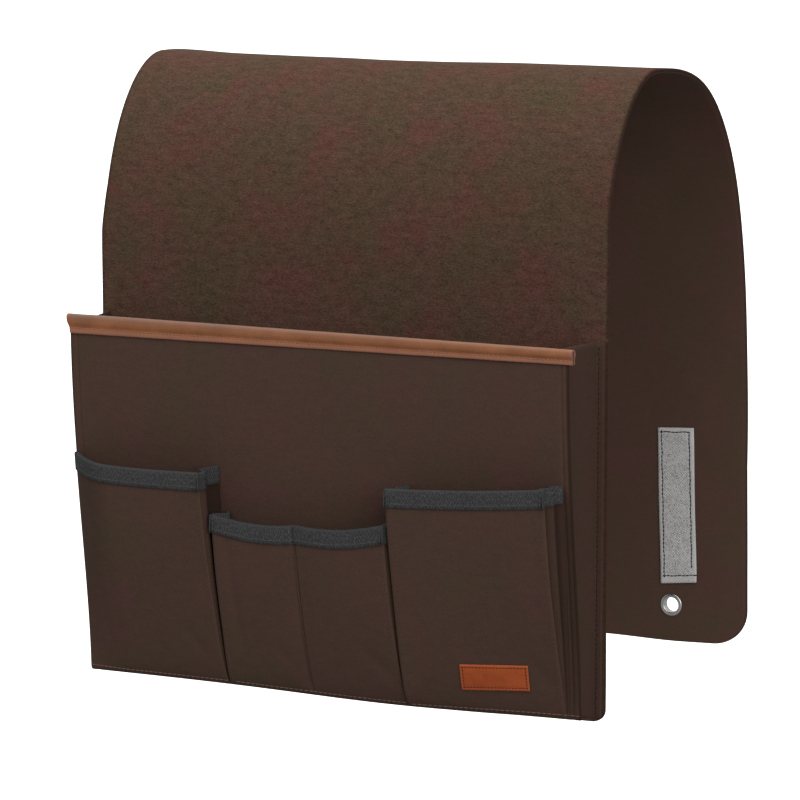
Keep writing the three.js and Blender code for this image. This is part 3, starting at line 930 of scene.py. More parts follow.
class SeamTree(PieceTree):
    """The geometry tree that sews stitches along a row of points."""

    NAME = "sewn_seam"
    INPUTS = {"Pitch": "Float", "Length": "Float", "Radius": "Float", "Rise": "Float"}

    def lay_out(self, nodes: Nodes, given: Given) -> Socket:
        """Adds the nodes that set an arched stitch at each step of the seam."""
        path = nodes.out("GeometryNodeMeshToCurve", {0: given["Geometry"]})
        steps = {"Curve": path, "Length": given["Pitch"]}
        spots = nodes.out("GeometryNodeResampleCurve", steps, mode="LENGTH")
        half = nodes.times(given["Length"], 0.5)
        sunk = nodes.times(given["Radius"], -0.7)
        top = nodes.times(given["Rise"], 2.0)
        arch = nodes.arch({0: nodes.times(half, -1.0), 2: sunk}, top, {0: half, 2: sunk})
        stitch = nodes.yarn(arch, given["Radius"], 6, True)
        tangent = nodes.out("GeometryNodeInputTangent")
        named = {"Name": THREAD_NORMAL}
        normal = nodes.out("GeometryNodeInputNamedAttribute", named, data_type="FLOAT_VECTOR")
        along = nodes.out("FunctionNodeAlignRotationToVector", {"Vector": tangent}, axis="X")
        upright = {"Rotation": along, "Vector": normal}
        turned = nodes.out("FunctionNodeAlignRotationToVector", upright, axis="Z", pivot_axis="X")
        placed = {"Points": spots, "Instance": stitch, "Rotation": turned}
        return nodes.out("GeometryNodeInstanceOnPoints", placed)

    def sew(self, name: str, seams: Sequence[Seam], stitch: Stitch) -> Piece:
        """Sews seams as one piece.

        Args:
            name: The piece's name.
            seams: The rows of stitches.
            stitch: How they are sewn.

        Returns:
            The stitches, as a plain mesh.
        """
        counts = np.cumsum([0] + [len(seam.points) for seam in seams])
        edges = [(int(k), int(k) + 1) for a, b in zip(counts, counts[1:]) for k in range(a, b - 1)]
        mesh = mesh_of(name, np.concatenate([seam.points for seam in seams]), edges)
        normals = np.concatenate([seam.normals for seam in seams]).astype(np.float32)
        marks = mesh.attributes.new(THREAD_NORMAL, "FLOAT_VECTOR", "POINT")
        marks.data.foreach_set("vector", normals.ravel())
        sizes = {key: getattr(stitch, key.lower()) * MM for key in self.INPUTS}
        return self.grown(mesh, **sizes, Finish=stitch.finish.material())


# The felt strip


class StripLine:
    """The strip's outer line on one side, from the crown's top to the hem, measured along the cloth."""

    def __init__(self, side: Side) -> None:
        """Lays out the line of the front or of the rear."""
        s = STRIP
        front = side is Side.FRONT
        wall, flat = (0.0, s.front_flat) if front else (s.depth, s.rear_flat)
        rise, run = s.front_shoulder if front else s.rear_shoulder
        high = flat + rise * (s.drop - flat)
        pulled = s.setback - run * (s.setback - wall)
        handles = np.array([[wall, flat], [wall, high], [pulled, s.drop], [s.setback, s.drop]])
        t = np.linspace(1.0, 0.0, 500)[:, None]
        b = [(1 - t) ** 3, 3 * (1 - t) ** 2 * t, 3 * (1 - t) * t**2, t**3]
        curve = sum(weight * handle for weight, handle in zip(b, handles))
        way = 3 * (1 - t) ** 2 * (handles[1] - handles[0]) + 6 * (1 - t) * t * (handles[2] - handles[1])
        way = way + 3 * t**2 * (handles[3] - handles[2])
        way /= np.linalg.norm(way, axis=1, keepdims=True)
        heights = np.linspace(flat, 0.0, 200)[1:]
        down = stacked(wall, heights)
        self.side = side
        self.points = np.concatenate([curve, down])
        inward = stacked(way[:, 1], -way[:, 0]) * side.sign
        level = np.tile([float(side.sign), 0.0], (len(heights), 1))
        self.inward = np.concatenate([inward, level])
        steps = np.linalg.norm(np.diff(self.points, axis=0), axis=1)
        self.arc = np.concatenate([[0.0], np.cumsum(steps)])
        self.length = float(self.arc[-1])
        self.corner = s.front_corner if front else s.rear_corner

    def rows(self, step: float) -> Grid:
        """Gives distances along the line for rows of points, close together at the rounded corners."""
        turn = self.corner * (1 - np.cos(np.linspace(0.0, np.pi / 2, 12)))
        start = np.array([0.0, 0.3, 0.8, 1.6])
        plain = np.linspace(step, self.length - self.corner, spacing(self.length - self.corner - step, step))
        return np.concatenate([start, plain[:-1], self.length - turn[::-1]])

    def place(self, share: Grid, along: Grid, depth: Grid | float) -> Grid:
        """Places points of the strip.

        Args:
            share: From -1 at the left edge to 1 at the right.
            along: Distances from the crown's top.
            depth: Depth under the outer face.

        Returns:
            The points.
        """
        y, z = (np.interp(along, self.arc, self.points[:, k]) for k in range(2))
        in_y, in_z = (np.interp(along, self.arc, self.inward[:, k]) for k in range(2))
        lift = np.maximum(0.0, self.corner - (self.length - along))
        widths = STRIP.front_widths if self.side is Side.FRONT else STRIP.rear_widths
        half = np.interp(z, *widths) / 2 - self.corner + np.sqrt(np.maximum(0.0, self.corner**2 - lift**2))
        spot = stacked(share * half, y + depth * in_y, z + depth * in_z)
        return STRIP.eased(spot, self.side)


@dataclass
class FeltStrip:
    """The strip over the sofa's arm: felt outside, lining inside, with a bend over each edge of the arm.

    Attributes:
        wave: How uneven the cloth lies, in waves of wave_size.
        calm: Length of cloth from the crown's top over which the waves set in.
        hem_row: Height of the hem's stitches.
        hole: Radius of the eyelets' holes, and the depth of their middle under the felt's face.
        cut: Share of the half width past which the cloth is its cut edge, painted dark as shade on the front
            felt below the panel's top.
        bends: Start and end of the bend over each edge of the arm; not used.
    """

    sewer: SeamTree
    step: float = 3.0
    wave: float = 0.5
    wave_size: float = 95.0
    calm: float = 60.0
    hem_row: float = 3.0
    hem_end: float = 4.0
    hole: Pair = (5.7, 1.5)
    cut: float = 0.999
    bends: dict[Side, tuple[Point, Point]] = field(
        default_factory=lambda: {
            Side.FRONT: ((0.0, -0.0640, -0.052), (0.0, -0.0757, -0.112)),
            Side.REAR: ((0.0, 0.1180, -0.042), (0.0, 0.1455, -0.100)),
        }
    )

    def build(self) -> list[Piece]:
        """Makes the strip's pieces, bakes the layers' transforms and hangs the hem's stitches on the front
        flap.
        """
        made = []
        for side, flap in ((Side.FRONT, "front_flap"), (Side.REAR, "rear_flap")):
            line = StripLine(side)
            felt = self.layer(line, f"{flap}_half_felt", 0.0, STRIP.felt, FELT)
            lining = self.layer(line, f"{flap}_half_lining", STRIP.felt + 0.01, STRIP.thickness, LINING)
            if side is Side.REAR:
                for piece in (felt, lining):
                    self.punch(piece)
            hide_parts(f"{flap}_felt", "crown_felt")
            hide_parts(f"{flap}_lining", "crown_lining")
            for piece in (felt, lining):
                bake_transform(piece)
            made += [felt, lining]
        made.append(self.hem())
        return made

    def layer(self, line: StripLine, name: str, outer: float, inner: float, finish: Finish) -> Piece:
        """Makes one layer of one half of the strip, the front felt's cut edges painted dark as shade where
        side walls are sewn on.
        """
        along = line.rows(self.step)
        share = np.linspace(-1.0, 1.0, spacing(STRIP.width, self.step))
        grid_share, grid_along = np.meshgrid(share, along)
        x = grid_share * STRIP.width / 2
        calm = unit(grid_along / self.calm)
        uneven = self.wave * calm * wander(x, grid_along, self.wave_size, 1.0 + line.side.sign)
        grids = [line.place(grid_share, grid_along, depth + uneven) for depth in (outer, inner)]
        uv = stacked(x + STRIP.width / 2, grid_along * line.side.sign)
        folds = None
        # Painted shade on the front felt's cut edges below the panel's top.
        if line.side is Side.FRONT and finish is FELT:
            low = grids[0][..., 2] < POCKET.panel_top
            folds = (low & (np.abs(grid_share) > self.cut)).astype(float)
        return shell(name, *grids, uv, finish, push=0.3, border=2.5, joined=True, folds=folds, pressed=True)

    def punch(self, piece: Piece) -> None:
        """Cuts the holes for the eyelets through a layer of the rear flap."""
        for side in ENDS:
            mesh = bpy.data.meshes.new("punch")
            work = bmesh.new()
            round_hole = {"segments": 48, "radius1": self.hole[0] * MM, "radius2": self.hole[0] * MM}
            bmesh.ops.create_cone(work, cap_ends=True, depth=0.03, **round_hole)
            work.to_mesh(mesh)
            work.free()
            tool = linked("punch", mesh)
            tool.rotation_euler = (math.pi / 2, 0.0, 0.0)
            depth = STRIP.depth - self.hole[1]
            tool.location = frame_point(side.sign * STRIP.eyelet_x, depth, STRIP.eyelet_z)
            modifier = piece.modifiers.new("punch", "BOOLEAN")
            modifier.operation = "DIFFERENCE"
            modifier.object = tool
            modifier.solver = "EXACT"
            plain(piece)
            bpy.data.objects.remove(tool)

    def hem(self) -> Piece:
        """Sews the front hem through felt and lining, on both faces."""
        x = np.linspace(-STRIP.width / 2 + self.hem_end, STRIP.width / 2 - self.hem_end, 90)
        rows = []
        for y, side in ((-0.05, Side.FRONT), (STRIP.thickness + 0.05, Side.REAR)):
            rows.append(Seam.upright(STRIP.sagged(stacked(x, y, self.hem_row)), side))
        stitches = self.sewer.sew("front_hem_stitches", rows, HEM_STITCH)
        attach(stitches, "front_flap")
        return stitches


# Eyelets and fastening strips


class LoopTree(PieceTree):
    """The geometry tree that grows a pile of small loops on a patch."""

    NAME = "loop_pile"
    INPUTS = {"Density": "Float", "Loop": "Float", "Yarn": "Float", "Seed": "Int"}

    def lay_out(self, nodes: Nodes, given: Given) -> Socket:
        """Adds the nodes that scatter loops of yarn, each turned and sized by chance."""
        ground = {"Mesh": given["Geometry"], "Density": given["Density"], "Seed": given["Seed"]}
        spread = nodes.add("GeometryNodeDistributePointsOnFaces", ground).outputs
        half = nodes.times(given["Loop"], 0.5)
        back = nodes.times(half, -1.0)
        top = nodes.times(given["Loop"], 1.1)
        arch = nodes.arch({0: back, 1: given["Yarn"]}, top, {0: half, 1: back})
        loop = nodes.yarn(arch, given["Yarn"], 4, False)
        turn = nodes.add("FunctionNodeRandomValue", {2: -0.9, 3: 0.9, "Seed": given["Seed"]}).outputs[1]
        turns = {0: spread["Rotation"], 1: nodes.place({2: turn})}
        turned = nodes.out("FunctionNodeRotateRotation", turns, rotation_space="LOCAL")
        size = nodes.add("FunctionNodeRandomValue", {2: 0.7, 3: 1.25, "Seed": given["Seed"]}).outputs[1]
        placed = {"Points": spread["Points"], "Instance": loop, "Rotation": turned, "Scale": size}
        return nodes.out("GeometryNodeInstanceOnPoints", placed)

    def grow(
        self, name: str, corners: Grid, density: float = 6.0e5, loop: float = 1.1, yarn: float = 0.12
    ) -> Piece:
        """Grows a pile between four corners.

        Args:
            name: The piece's name.
            corners: The patch's corners, in the hem layout.
            density: Loops to the square metre.
            loop: A loop's span in millimetres.
            yarn: Its yarn's radius in millimetres.

        Returns:
            The pile, as a plain mesh.
        """
        mesh = mesh_of(name, corners, faces=[(0, 1, 2, 3)])
        sizes = {"Density": density, "Loop": loop * MM, "Yarn": yarn * MM, "Seed": 7}
        piece = self.grown(mesh, **sizes, Finish=PILE.material())
        return piece


@dataclass
class Hardware:
    """Eyelets and fastening strips of the rear flap's inner face.

    Attributes:
        barrel: Section of an eyelet's flanged tube, as (radius, depth into the flap).
        washer: Section of the washer that the tube is curled over.
        strip_tab: How far the lowest seam lies above a strip's foot.
        strip_tilt: How far a strip leans, as a slope.
        shift: How far it is sewn on to the left of its place.
        foot_cut: Rise of the foot, and its slope across.
        top_cut: Rise of the top, and its slope across.
        curl: How far the free foot curls off, and the share of the height over which it does.
    """

    sewer: SeamTree
    loops: LoopTree
    face: float = 237.0
    barrel: tuple[Pair, ...] = (
        (4.8, -0.5), (4.88, -0.8), (5.15, -1.04), (5.5, -1.1), (6.4, -1.1), (6.9, -0.98),
        (7.2, -0.72), (7.25, -0.3), (6.9, -0.02), (5.4, -0.02), (5.4, 4.0), (6.4, 4.0),
        (6.4, 4.4), (6.1, 4.7), (5.7, 4.8), (5.2, 4.65), (4.8, 4.3),
    )
    washer: tuple[Pair, ...] = ((5.7, 3.02), (6.9, 3.02), (7.0, 3.3), (6.8, 3.8), (6.4, 4.0), (5.7, 4.0))
    strip_x: float = 119.5
    strip_foot: float = 36.0
    strip_width: float = 24.0
    strip_height: float = 101.0
    strip_thickness: float = 1.4
    strip_tab: float = 4.7
    strip_row: float = 2.6
    pile_gap: float = 1.2
    strip_tilt: float = 0.033
    shift: float = 0.7
    foot_cut: Pair = (1.47, 0.069)
    top_cut: Pair = (0.3, 0.019)
    curl: Pair = (0.5, 0.05)

    def build(self) -> list[Piece]:
        """Makes both sides' eyelets and strips."""
        made = []
        for side in ENDS:
            made += self.eyelet(side)
            made += self.strip(side)
        return made

    def eyelet(self, side: Side) -> list[Piece]:
        """Makes an eyelet's flanged tube and the washer that it is curled over."""
        pieces = []
        for label, profile in (("barrel", self.barrel), ("washer", self.washer)):
            piece = self.turned(f"eyelet_{label}_{side.word}_turned", profile, side.sign * STRIP.eyelet_x)
            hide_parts(f"eyelet_{label}_{side.word}")
            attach(piece, "rear_flap")
            pieces.append(piece)
        return pieces

    def turned(self, name: str, profile: Sequence[Pair], x: float, sides: int = 64) -> Piece:
        """Turns a closed profile of (radius, depth) round an eyelet's axis."""
        angles = np.linspace(0.0, 2 * np.pi, sides, endpoint=False)
        outline = np.array(profile)
        radius, depth = outline[:, 0][:, None], outline[:, 1][:, None]
        across, up = x + radius * np.cos(angles), STRIP.eyelet_z + radius * np.sin(angles)
        spots = stacked(across, self.face + depth, up)
        index = np.arange(len(outline) * sides).reshape(-1, sides)
        after, next_row = np.roll(index, -1, axis=1), np.roll(index, -1, axis=0)
        quads = stacked(index, after, np.roll(after, -1, axis=0), next_row).reshape(-1, 4)
        mesh = mesh_of(name, spots.reshape(-1, 3), faces=quads.tolist())
        outwards(mesh)
        return finished_object(name, mesh, NICKEL)

    def strip(self, side: Side) -> list[Piece]:
        """Makes a fastening strip: its tape, its dark seams and its loops."""
        name = f"fastening_strip_{side.word}"
        made = [self.tape(side, name), self.seams(side, name), self.pile(side, name)]
        for piece in made:
            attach(piece, "rear_flap")
        return made

    def tape(self, side: Side, name: str) -> Piece:
        """Makes a strip's tape, which bows and swells a little between its seams."""
        centre = side.sign * self.strip_x
        u, v = np.meshgrid(np.linspace(-0.5, 0.5, 18), shares(60))
        bow = 0.3 * np.sin(2.3 * np.pi * v + side.sign)
        across = centre + u * self.strip_width + 0.5 * bow
        x, z = self.tilted(centre, across, self.strip_foot + v * self.strip_height)
        swell = 0.25 * np.sin(5.1 * np.pi * v + 3.0 * u)
        curl, reach = self.curl
        lift = np.where(v < reach, curl * (1 - v / reach), 0.0) + 0.12 * swell
        grids = [stacked(x, self.face - depth - lift, z) for depth in (self.strip_thickness, 0.02)]
        uv = stacked(u * self.strip_width, v * self.strip_height)
        tape = shell(f"{name}_tape", *grids, uv, LOOPS, push=0.2)
        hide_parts(name)
        return tape

    def seams(self, side: Side, name: str) -> Piece:
        """Sews a strip on all round, by hand and so a little unevenly."""
        centre = side.sign * self.strip_x
        half = self.strip_width / 2
        left, right = centre - half + self.strip_row, centre + half - self.strip_row
        low = self.strip_foot + self.strip_tab
        high = self.strip_foot + self.strip_height - self.strip_row
        outline = [
            ((left, high), (left, low)),
            ((left, low), (centre + half - 0.6, low)),
            ((right, high - 2.0), (right, low + 6.0)),
            ((left, high), (right - 0.5, high)),
        ]
        t = shares(60)
        rows = []
        for start, end in outline:
            sway = 0.14 * np.sin(34.0 * t + start[0]) + 0.1 * np.sin(97.0 * t)
            level = float(start[1] == end[1])
            x = lerp(start[0], end[0], t) + (1.0 - level) * sway
            z = lerp(start[1], end[1], t) + level * sway
            x, z = self.tilted(centre, x, z)
            spot = stacked(x, self.face - self.strip_thickness - 0.05, z)
            rows.append(Seam.upright(spot, Side.FRONT))
        return self.sewer.sew(f"{name}_stitches", rows, STRIP_STITCH)

    def tilted(self, centre: float, x: Grid, z: Grid) -> Plan:
        """Leans a place on a strip, which is cut and sewn on slightly askew."""
        up = (z - self.strip_foot) / self.strip_height
        rise, slope = (lerp(low, high, up) for low, high in zip(self.foot_cut, self.top_cut))
        lean = self.strip_tilt * (up - 0.5) * self.strip_height
        return x - lean - self.shift, z + (rise + slope * (x - centre)) + self.strip_tilt * (x - centre)

    def pile(self, side: Side, name: str) -> Piece:
        """Grows a strip's loops inside its seams."""
        centre = side.sign * self.strip_x
        inset = self.strip_row + self.pile_gap
        left, right = centre - self.strip_width / 2 + inset, centre + self.strip_width / 2 - inset
        low = self.strip_foot + self.strip_tab + self.pile_gap
        high = self.strip_foot + self.strip_height - inset
        corners = [(left, low), (right, low), (right, high), (left, high)]
        spots = [self.tilted(centre, x, z) for x, z in corners]
        level = self.face - self.strip_thickness
        return self.loops.grow(f"{name}_pile", np.array([[x, level, z] for x, z in spots]))


# Pleated side walls


def dusk(level: float) -> Shade:
    """Gives the painted shade of a wall that is evenly dark behind its front edge."""
    return ((0.1, 0.0), (0.35, level))


@dataclass
class PleatedWall:
    """A pleated cloth wall, a rounded zigzag seen from above that changes with height.

    Attributes:
        side: The side that the wall faces.
        columns: Each corner's place, as (x, y) at heights, from the front edge to the back.
        soft: How rounded the pleats are.
        deep: Depth at which a fold's painted shade is darkest.
    """

    side: Side
    columns: Sequence[Column]
    soft: int
    deep: float = 4.0

    def centre(self, heights: Grid, points: int) -> Plan:
        """Gives the wall's middle line at heights.

        Args:
            heights: The heights.
            points: Number of points along the wall.

        Returns:
            Places and outward directions, as heights by points by (x, y).
        """
        places = [stacked(*column(heights)) for column in self.columns]
        corners = np.stack(places, axis=1)
        legs = np.linalg.norm(np.diff(corners, axis=1), axis=-1).mean(0)
        knots = np.concatenate([[0.0], np.cumsum(legs)])
        knots /= knots[-1]
        share = shares(points)
        line = stacked(*([np.interp(share, knots, row[:, k]) for row in corners] for k in range(2)))
        for _ in range(self.soft):
            line[:, 1:-1] = 0.25 * line[:, :-2] + 0.5 * line[:, 1:-1] + 0.25 * line[:, 2:]
        way = np.gradient(line, axis=1)
        way /= np.maximum(np.linalg.norm(way, axis=-1, keepdims=True), 1e-9)
        out = stacked(way[..., 1], -way[..., 0]) * self.side.sign
        return line, out

    def cloth(
        self, name: str, foot: Line, top: Line, rows: int, points: int, shade: Shade = UNSHADED
    ) -> Piece:
        """Makes the wall's cloth.

        Args:
            name: The piece's name.
            foot: Height of its lower edge by share of the way back.
            top: Height of its upper edge by share of the way back.
            rows: Number of rows of points.
            points: Number of points along the wall.
            shade: How dark the wall is painted by share of the way back, as shade.

        Returns:
            The new piece.
        """
        share = shares(points)
        heights = np.linspace(float(np.min(foot(share))), float(np.max(top(share))), rows)
        line, out = self.centre(heights, points)
        level = np.stack([lerp(foot(share), top(share), t) for t in shares(rows)])
        grids = []
        for offset in (POCKET.gusset, 0.0):
            flat = line + out * offset
            grids.append(STRIP.sagged(stacked(flat[..., 0], flat[..., 1], level)))
        uv = stacked(run_of(line[-1]), level)
        # Painted shade: deep folds and the given shade darken the cloth.
        folds = np.maximum(self.depth_in_folds(line), np.interp(share, *zip(*shade)))
        return shell(name, *grids, uv, CLOTH, push=0.2, border=3.0, folds=folds)

    def depth_in_folds(self, line: Grid) -> Grid:
        """Gives how deep in a fold each point of the wall's middle line lies, for the folds' painted shade.
        """
        reach = self.side.sign * line[..., 0]
        before = np.maximum.accumulate(reach, axis=1)
        behind = np.maximum.accumulate(reach[:, ::-1], axis=1)[:, ::-1]
        return unit((np.minimum(before, behind) - reach) / self.deep)

    def tape(self, name: str, top: Line, points: int, thickness: float) -> Piece:
        """Folds a tape over the wall's upper edge.

        Args:
            name: The piece's name.
            top: Height of the wall's upper edge by share of the way back.
            points: Number of points along the wall.
            thickness: The tape's thickness.

        Returns:
            The new piece.
        """
        share = shares(points)
        section = folded_section(POCKET.gusset, POCKET.tape)
        line, out = self.centre(np.array([float(np.mean(top(share)))]), points)
        grids = []
        for grow in (thickness, 0.02):
            rows = []
            for offset, rise, side_way, up_way in section:
                flat = line[0] + out[0] * (offset + POCKET.gusset + side_way * grow)
                rows.append(np.column_stack([flat, top(share) + rise + up_way * grow]))
            grids.append(STRIP.sagged(np.array(rows)))
        down = np.linspace(0.0, 2 * POCKET.tape, len(section))
        uv = np.stack(np.meshgrid(run_of(line[0]), down), axis=-1)
        return shell(name, *grids, uv, TAPE, push=0.2, border=1.5)


def run_of(line: Grid) -> Grid:
    """Gives the distance along a line of points, from its first."""
    return np.cumsum(np.concatenate([[0.0], np.linalg.norm(np.diff(line, axis=0), axis=-1)]))


def folded_section(cloth: float, height: float, steps: int = 5) -> list[tuple[float, ...]]:
    """Gives a tape's section over a cloth's edge, from low on its front over the top to low behind.

    Args:
        cloth: Thickness of the cloth.
        height: How far down the tape reaches.
        steps: Points down each side.

    Returns:
        For each point its distance before the front face, its rise over the edge, and which way it grows.
    """
    down = [height * (1 - k / steps) for k in range(steps + 1)]
    turn = np.linspace(0.0, math.pi, 9)[1:-1]
    front = [(0.0, -drop, 1.0, 0.0) for drop in down]
    over = [(-cloth * (0.5 - 0.5 * math.cos(a)), 0.0, math.cos(a), math.sin(a)) for a in turn]
    back = [(-cloth, -drop, -1.0, 0.0) for drop in reversed(down)]
    return front + over + back


# The magazine pocket


@dataclass
class MagazinePocket:
    """The wide pocket on the front flap: panel, floor, pleated sides and a leather band at its mouth.

    Attributes:
        sewer: Sews the seams.
        calm: How far from its edges the panel lies even, and in all below calm_foot.
        left_seam: How dark the left edge is painted as shade, and over what width.
        right_seam: The same at the right edge, where more than 1 is full dark, a painted shadow where the
            panel meets the side wall.
        margin: How dark the panel is painted beside the right pocket, right of margin_from, as shade.
        sew_x: How far the flange's seam lies inside the flap's edge.
        pleat_at: Share of the way forward at which a side wall is folded in.
        bend: Depth and height of the start and of the end of the side walls' bend; not used.
        band_outer: Section of the band's outside, as (distance before the panel, height over its edge).
        band_ends: How far the band's stitches end from its left and its right end.
    """

    sewer: SeamTree
    step: float = 3.0
    wave: float = 0.35
    wave_size: float = 120.0
    calm: float = 30.0
    calm_foot: float = 140.0
    seam_inset: float = 4.5
    seam_depth: float = 0.5
    seam_reach: float = 0.8
    tucked: float = 1.4
    left_seam: Pair = (0.8, 2.0)
    right_seam: Pair = (1.6, 1.1)
    margin: float = 0.42
    margin_from: float = 154.0
    margin_top: float = 146.0
    sew_x: float = 4.44
    sway: float = 0.3
    flange_end: float = 1.3
    pleat_at: float = 0.86
    side_flat: Pair = (0.055, 0.218)
    side_area: float = 0.0105
    bend: tuple[Pair, Pair] = ((-13.0, 227.0), (-46.5, 223.6))
    band_length: float = 330.0
    band_outer: tuple[Pair, ...] = (
        (0.75, -10.0), (1.15, -9.8), (1.35, -9.3), (1.35, -8.4), (1.05, -7.3), (0.9, -6.6),
        (1.05, -5.9), (1.65, -4.9), (2.25, -3.6), (2.4, -2.2), (2.2, -0.7), (1.6, 0.6),
        (0.5, 1.25), (-0.8, 1.4), (-1.8, 1.2), (-2.9, 0.5), (-3.6, -0.9), (-3.75, -2.6),
        (-3.5, -4.2), (-2.9, -5.6), (-2.6, -6.6), (-2.95, -8.2), (-2.9, -9.6), (-2.3, -10.0),
    )
    band_ends: Pair = (4.5, 2.5)
    band_row: float = -6.7

    def face(self, x: Grid, z: Grid) -> Grid:
        """Gives the panel's outer face, with the unevenness of cloth that is only held at its edges."""
        within = POCKET.half - np.abs(x)
        calm = unit(within / self.calm) * unit((z - POCKET.hem) / self.calm)
        low = unit((z - self.calm_foot) / self.calm)
        off = np.abs(x) - POCKET.half + self.seam_inset
        seam = self.seam_depth * np.exp(-((off / self.seam_reach) ** 2))
        return POCKET.face(x, z) + self.wave * calm * low * wander(x, z, self.wave_size, 2.0) - seam

    def build(self) -> list[Piece]:
        """Makes the pocket's pieces and hangs them on their bodies, all but the side walls, whose transforms
        are baked.
        """
        return [self.panel(), self.floor(), *self.sides(), *self.band(), self.hem()]

    def darkened(self, x: Grid, z: Grid) -> Grid:
        """Gives the painted shade of the panel at its edges, where seams and the neighbouring pocket shade
        it.
        """
        dark, reach = self.left_seam
        left = dark * unit(1.0 - (POCKET.half + x) / reach)
        beside = unit((x - self.margin_from) / 2.0)
        margin = self.margin * beside * unit((self.margin_top - z) / 8.0)
        dark, reach = self.right_seam
        right = unit(dark - (POCKET.half - x) / reach)
        return np.maximum(np.maximum(left, margin), right)

    def panel(self) -> Piece:
        """Makes the front panel, with its points closer at the upright seams and its right edge painted dark
        as shade.
        """
        plain = np.linspace(-POCKET.half, POCKET.half, spacing(2 * POCKET.half, self.step))
        fine = POCKET.half - self.seam_inset + np.linspace(-2.5, 2.5, 15)
        x = np.unique(np.concatenate([plain, -fine, fine, POCKET.half - np.linspace(0.4, 2.8, 7)]))
        z = np.linspace(POCKET.hem, POCKET.panel_top - self.tucked, spacing(POCKET.panel_top, self.step))
        gx, gz = np.meshgrid(x, z)
        grids = [on_face(self.face, gx, gz, before) for before in (0.0, -POCKET.cloth)]
        uv = stacked(gx + POCKET.half, gz)
        # Painted shade along the panel's edges and beside the right pocket.
        folds = self.darkened(gx, gz)
        panel = shell("magazine_pocket_panel", *grids, uv, CLOTH, push=0.3, folds=folds, pressed=True)
        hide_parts("magazine_panel")
        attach(panel, "magazine_pocket")
        return panel

    def floor(self) -> Piece:
        """Makes the strip of cloth that closes the pocket below, and sags a little."""
        half = POCKET.half - POCKET.cloth
        x = np.linspace(-half, half, spacing(2 * POCKET.half, 6.0))
        gx, gt = np.meshgrid(x, shares(10))
        front = float(POCKET.face(0.0, POCKET.floor_front)) - POCKET.cloth + 0.1
        y = -lerp(front, 0.02, gt)
        z = lerp(POCKET.floor_front, POCKET.floor_back, gt) - POCKET.floor_sag * np.sin(np.pi * gt)
        grids = [STRIP.sagged(stacked(gx, y, z + up)) for up in (0.0, -POCKET.gusset)]
        uv = stacked(gx, gt * front)
        floor = shell("magazine_pocket_floor", *grids, uv, CLOTH, push=0.2, border=2.0)
        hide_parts("magazine_floor")
        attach(floor, "front_flap")
        return floor

    def wall(self, side: Side) -> PleatedWall:
        """Lays out a side wall with its one inward pleat and the flange on the flap's edge."""
        sign = side.sign
        edge = STRIP.width / 2 - POCKET.flange
        front = POCKET.half - POCKET.gusset

        def reach(z: Grid) -> Grid:
            """Gives how far before the flap the wall begins."""
            return POCKET.face(0.0 * z, z) - POCKET.cloth + 0.1

        def pleat(z: Grid) -> Grid:
            """Gives how deep the wall is folded in, less so near its foot."""
            return POCKET.pleat * np.clip(3 * z / POCKET.mouth, 0.3, 1.0)

        columns = [
            lambda z: (sign * front, -reach(z)),
            lambda z: (sign * (edge - pleat(z)), -self.pleat_at * reach(z)),
            lambda z: (sign * edge + 0.0 * z, -0.15),
            lambda z: (sign * (STRIP.width / 2 - self.flange_end) + 0.0 * z, -0.15),
        ]
        return PleatedWall(side, columns, soft=2, deep=40.0)

    def sides(self) -> list[Piece]:
        """Makes both side walls, each reaching from the flap to the pocket's panel, and their flange
        stitches.
        """
        return [piece for side in ENDS for piece in (self.side(side), self.flange(side))]

    def side(self, side: Side) -> Piece:
        """Makes a side wall's cloth."""

        def foot(share: Grid) -> Grid:
            """Gives the wall's lower edge, which follows the floor back to the flap."""
            back = unit(share / 0.8)
            return lerp(POCKET.floor_front - 0.6, POCKET.floor_back - 0.4, back)

        top = POCKET.wall_top
        name = f"magazine_pocket_side_{side.word}"
        # The walls are painted darker toward the back, as shade.
        cloth = self.wall(side).cloth(name, foot, lambda share: top + 0.0 * share, 70, 40, dusk(0.22))
        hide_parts(f"magazine_gusset_{side.word}")
        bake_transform(cloth)
        return cloth

    def flange(self, side: Side) -> Piece:
        """Sews a side wall's flange to the flap's edge."""
        x = side.sign * (STRIP.width / 2 - self.sew_x)
        z = np.linspace(6.0, POCKET.wall_top - 4.0, 80)
        spot = stacked(x + self.sway * np.sin(z), -POCKET.gusset - 0.22, z)
        row = Seam.upright(STRIP.sagged(spot), Side.FRONT)
        stitches = self.sewer.sew(f"flange_stitches_{side.word}", [row], FLANGE_STITCH)
        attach(stitches, "front_flap")
        return stitches

    def band(self) -> list[Piece]:
        """Makes the leather band: a roll over the mouth with a sewn flange below it."""
        top, cloth = POCKET.panel_top, POCKET.cloth
        inner = ((-cloth - 0.1, -9.8), (-cloth - 0.1, -0.2), (-cloth / 2, 0.1), (0.1, -0.2), (0.1, -9.8))
        section = np.array(self.band_outer + inner)
        tree = BandTree()
        before = float(POCKET.face(0.0, top))
        band = tree.sweep("magazine_pocket_band", section, self.band_length, before, top)
        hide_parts("magazine_mouth_band")
        left, right = self.band_ends
        x = np.linspace(-self.band_length / 2 + left, self.band_length / 2 - right, 160)
        row = top + tree.settled(x / self.band_length + 0.5, self.band_row)
        front = Seam.on(POCKET.face, x, row, 0.95)
        back = Seam.on(POCKET.face, x, row, -cloth - 1.1)
        back.normals = -back.normals
        stitches = self.sewer.sew("band_stitches", [front, back], BAND_STITCH)
        for piece in (band, stitches):
            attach(piece, "magazine_pocket")
        return [band, stitches]

    def hem(self) -> Piece:
        """Sews the panel's lower edge."""
        x = np.linspace(-POCKET.half + 2.0, POCKET.half - 2.0, 160)
        row = Seam.on(self.face, x, np.full_like(x, POCKET.hem + 2.4))
        stitches = self.sewer.sew("panel_hem_stitches", [row], HEM_STITCH)
        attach(stitches, "magazine_pocket")
        return stitches


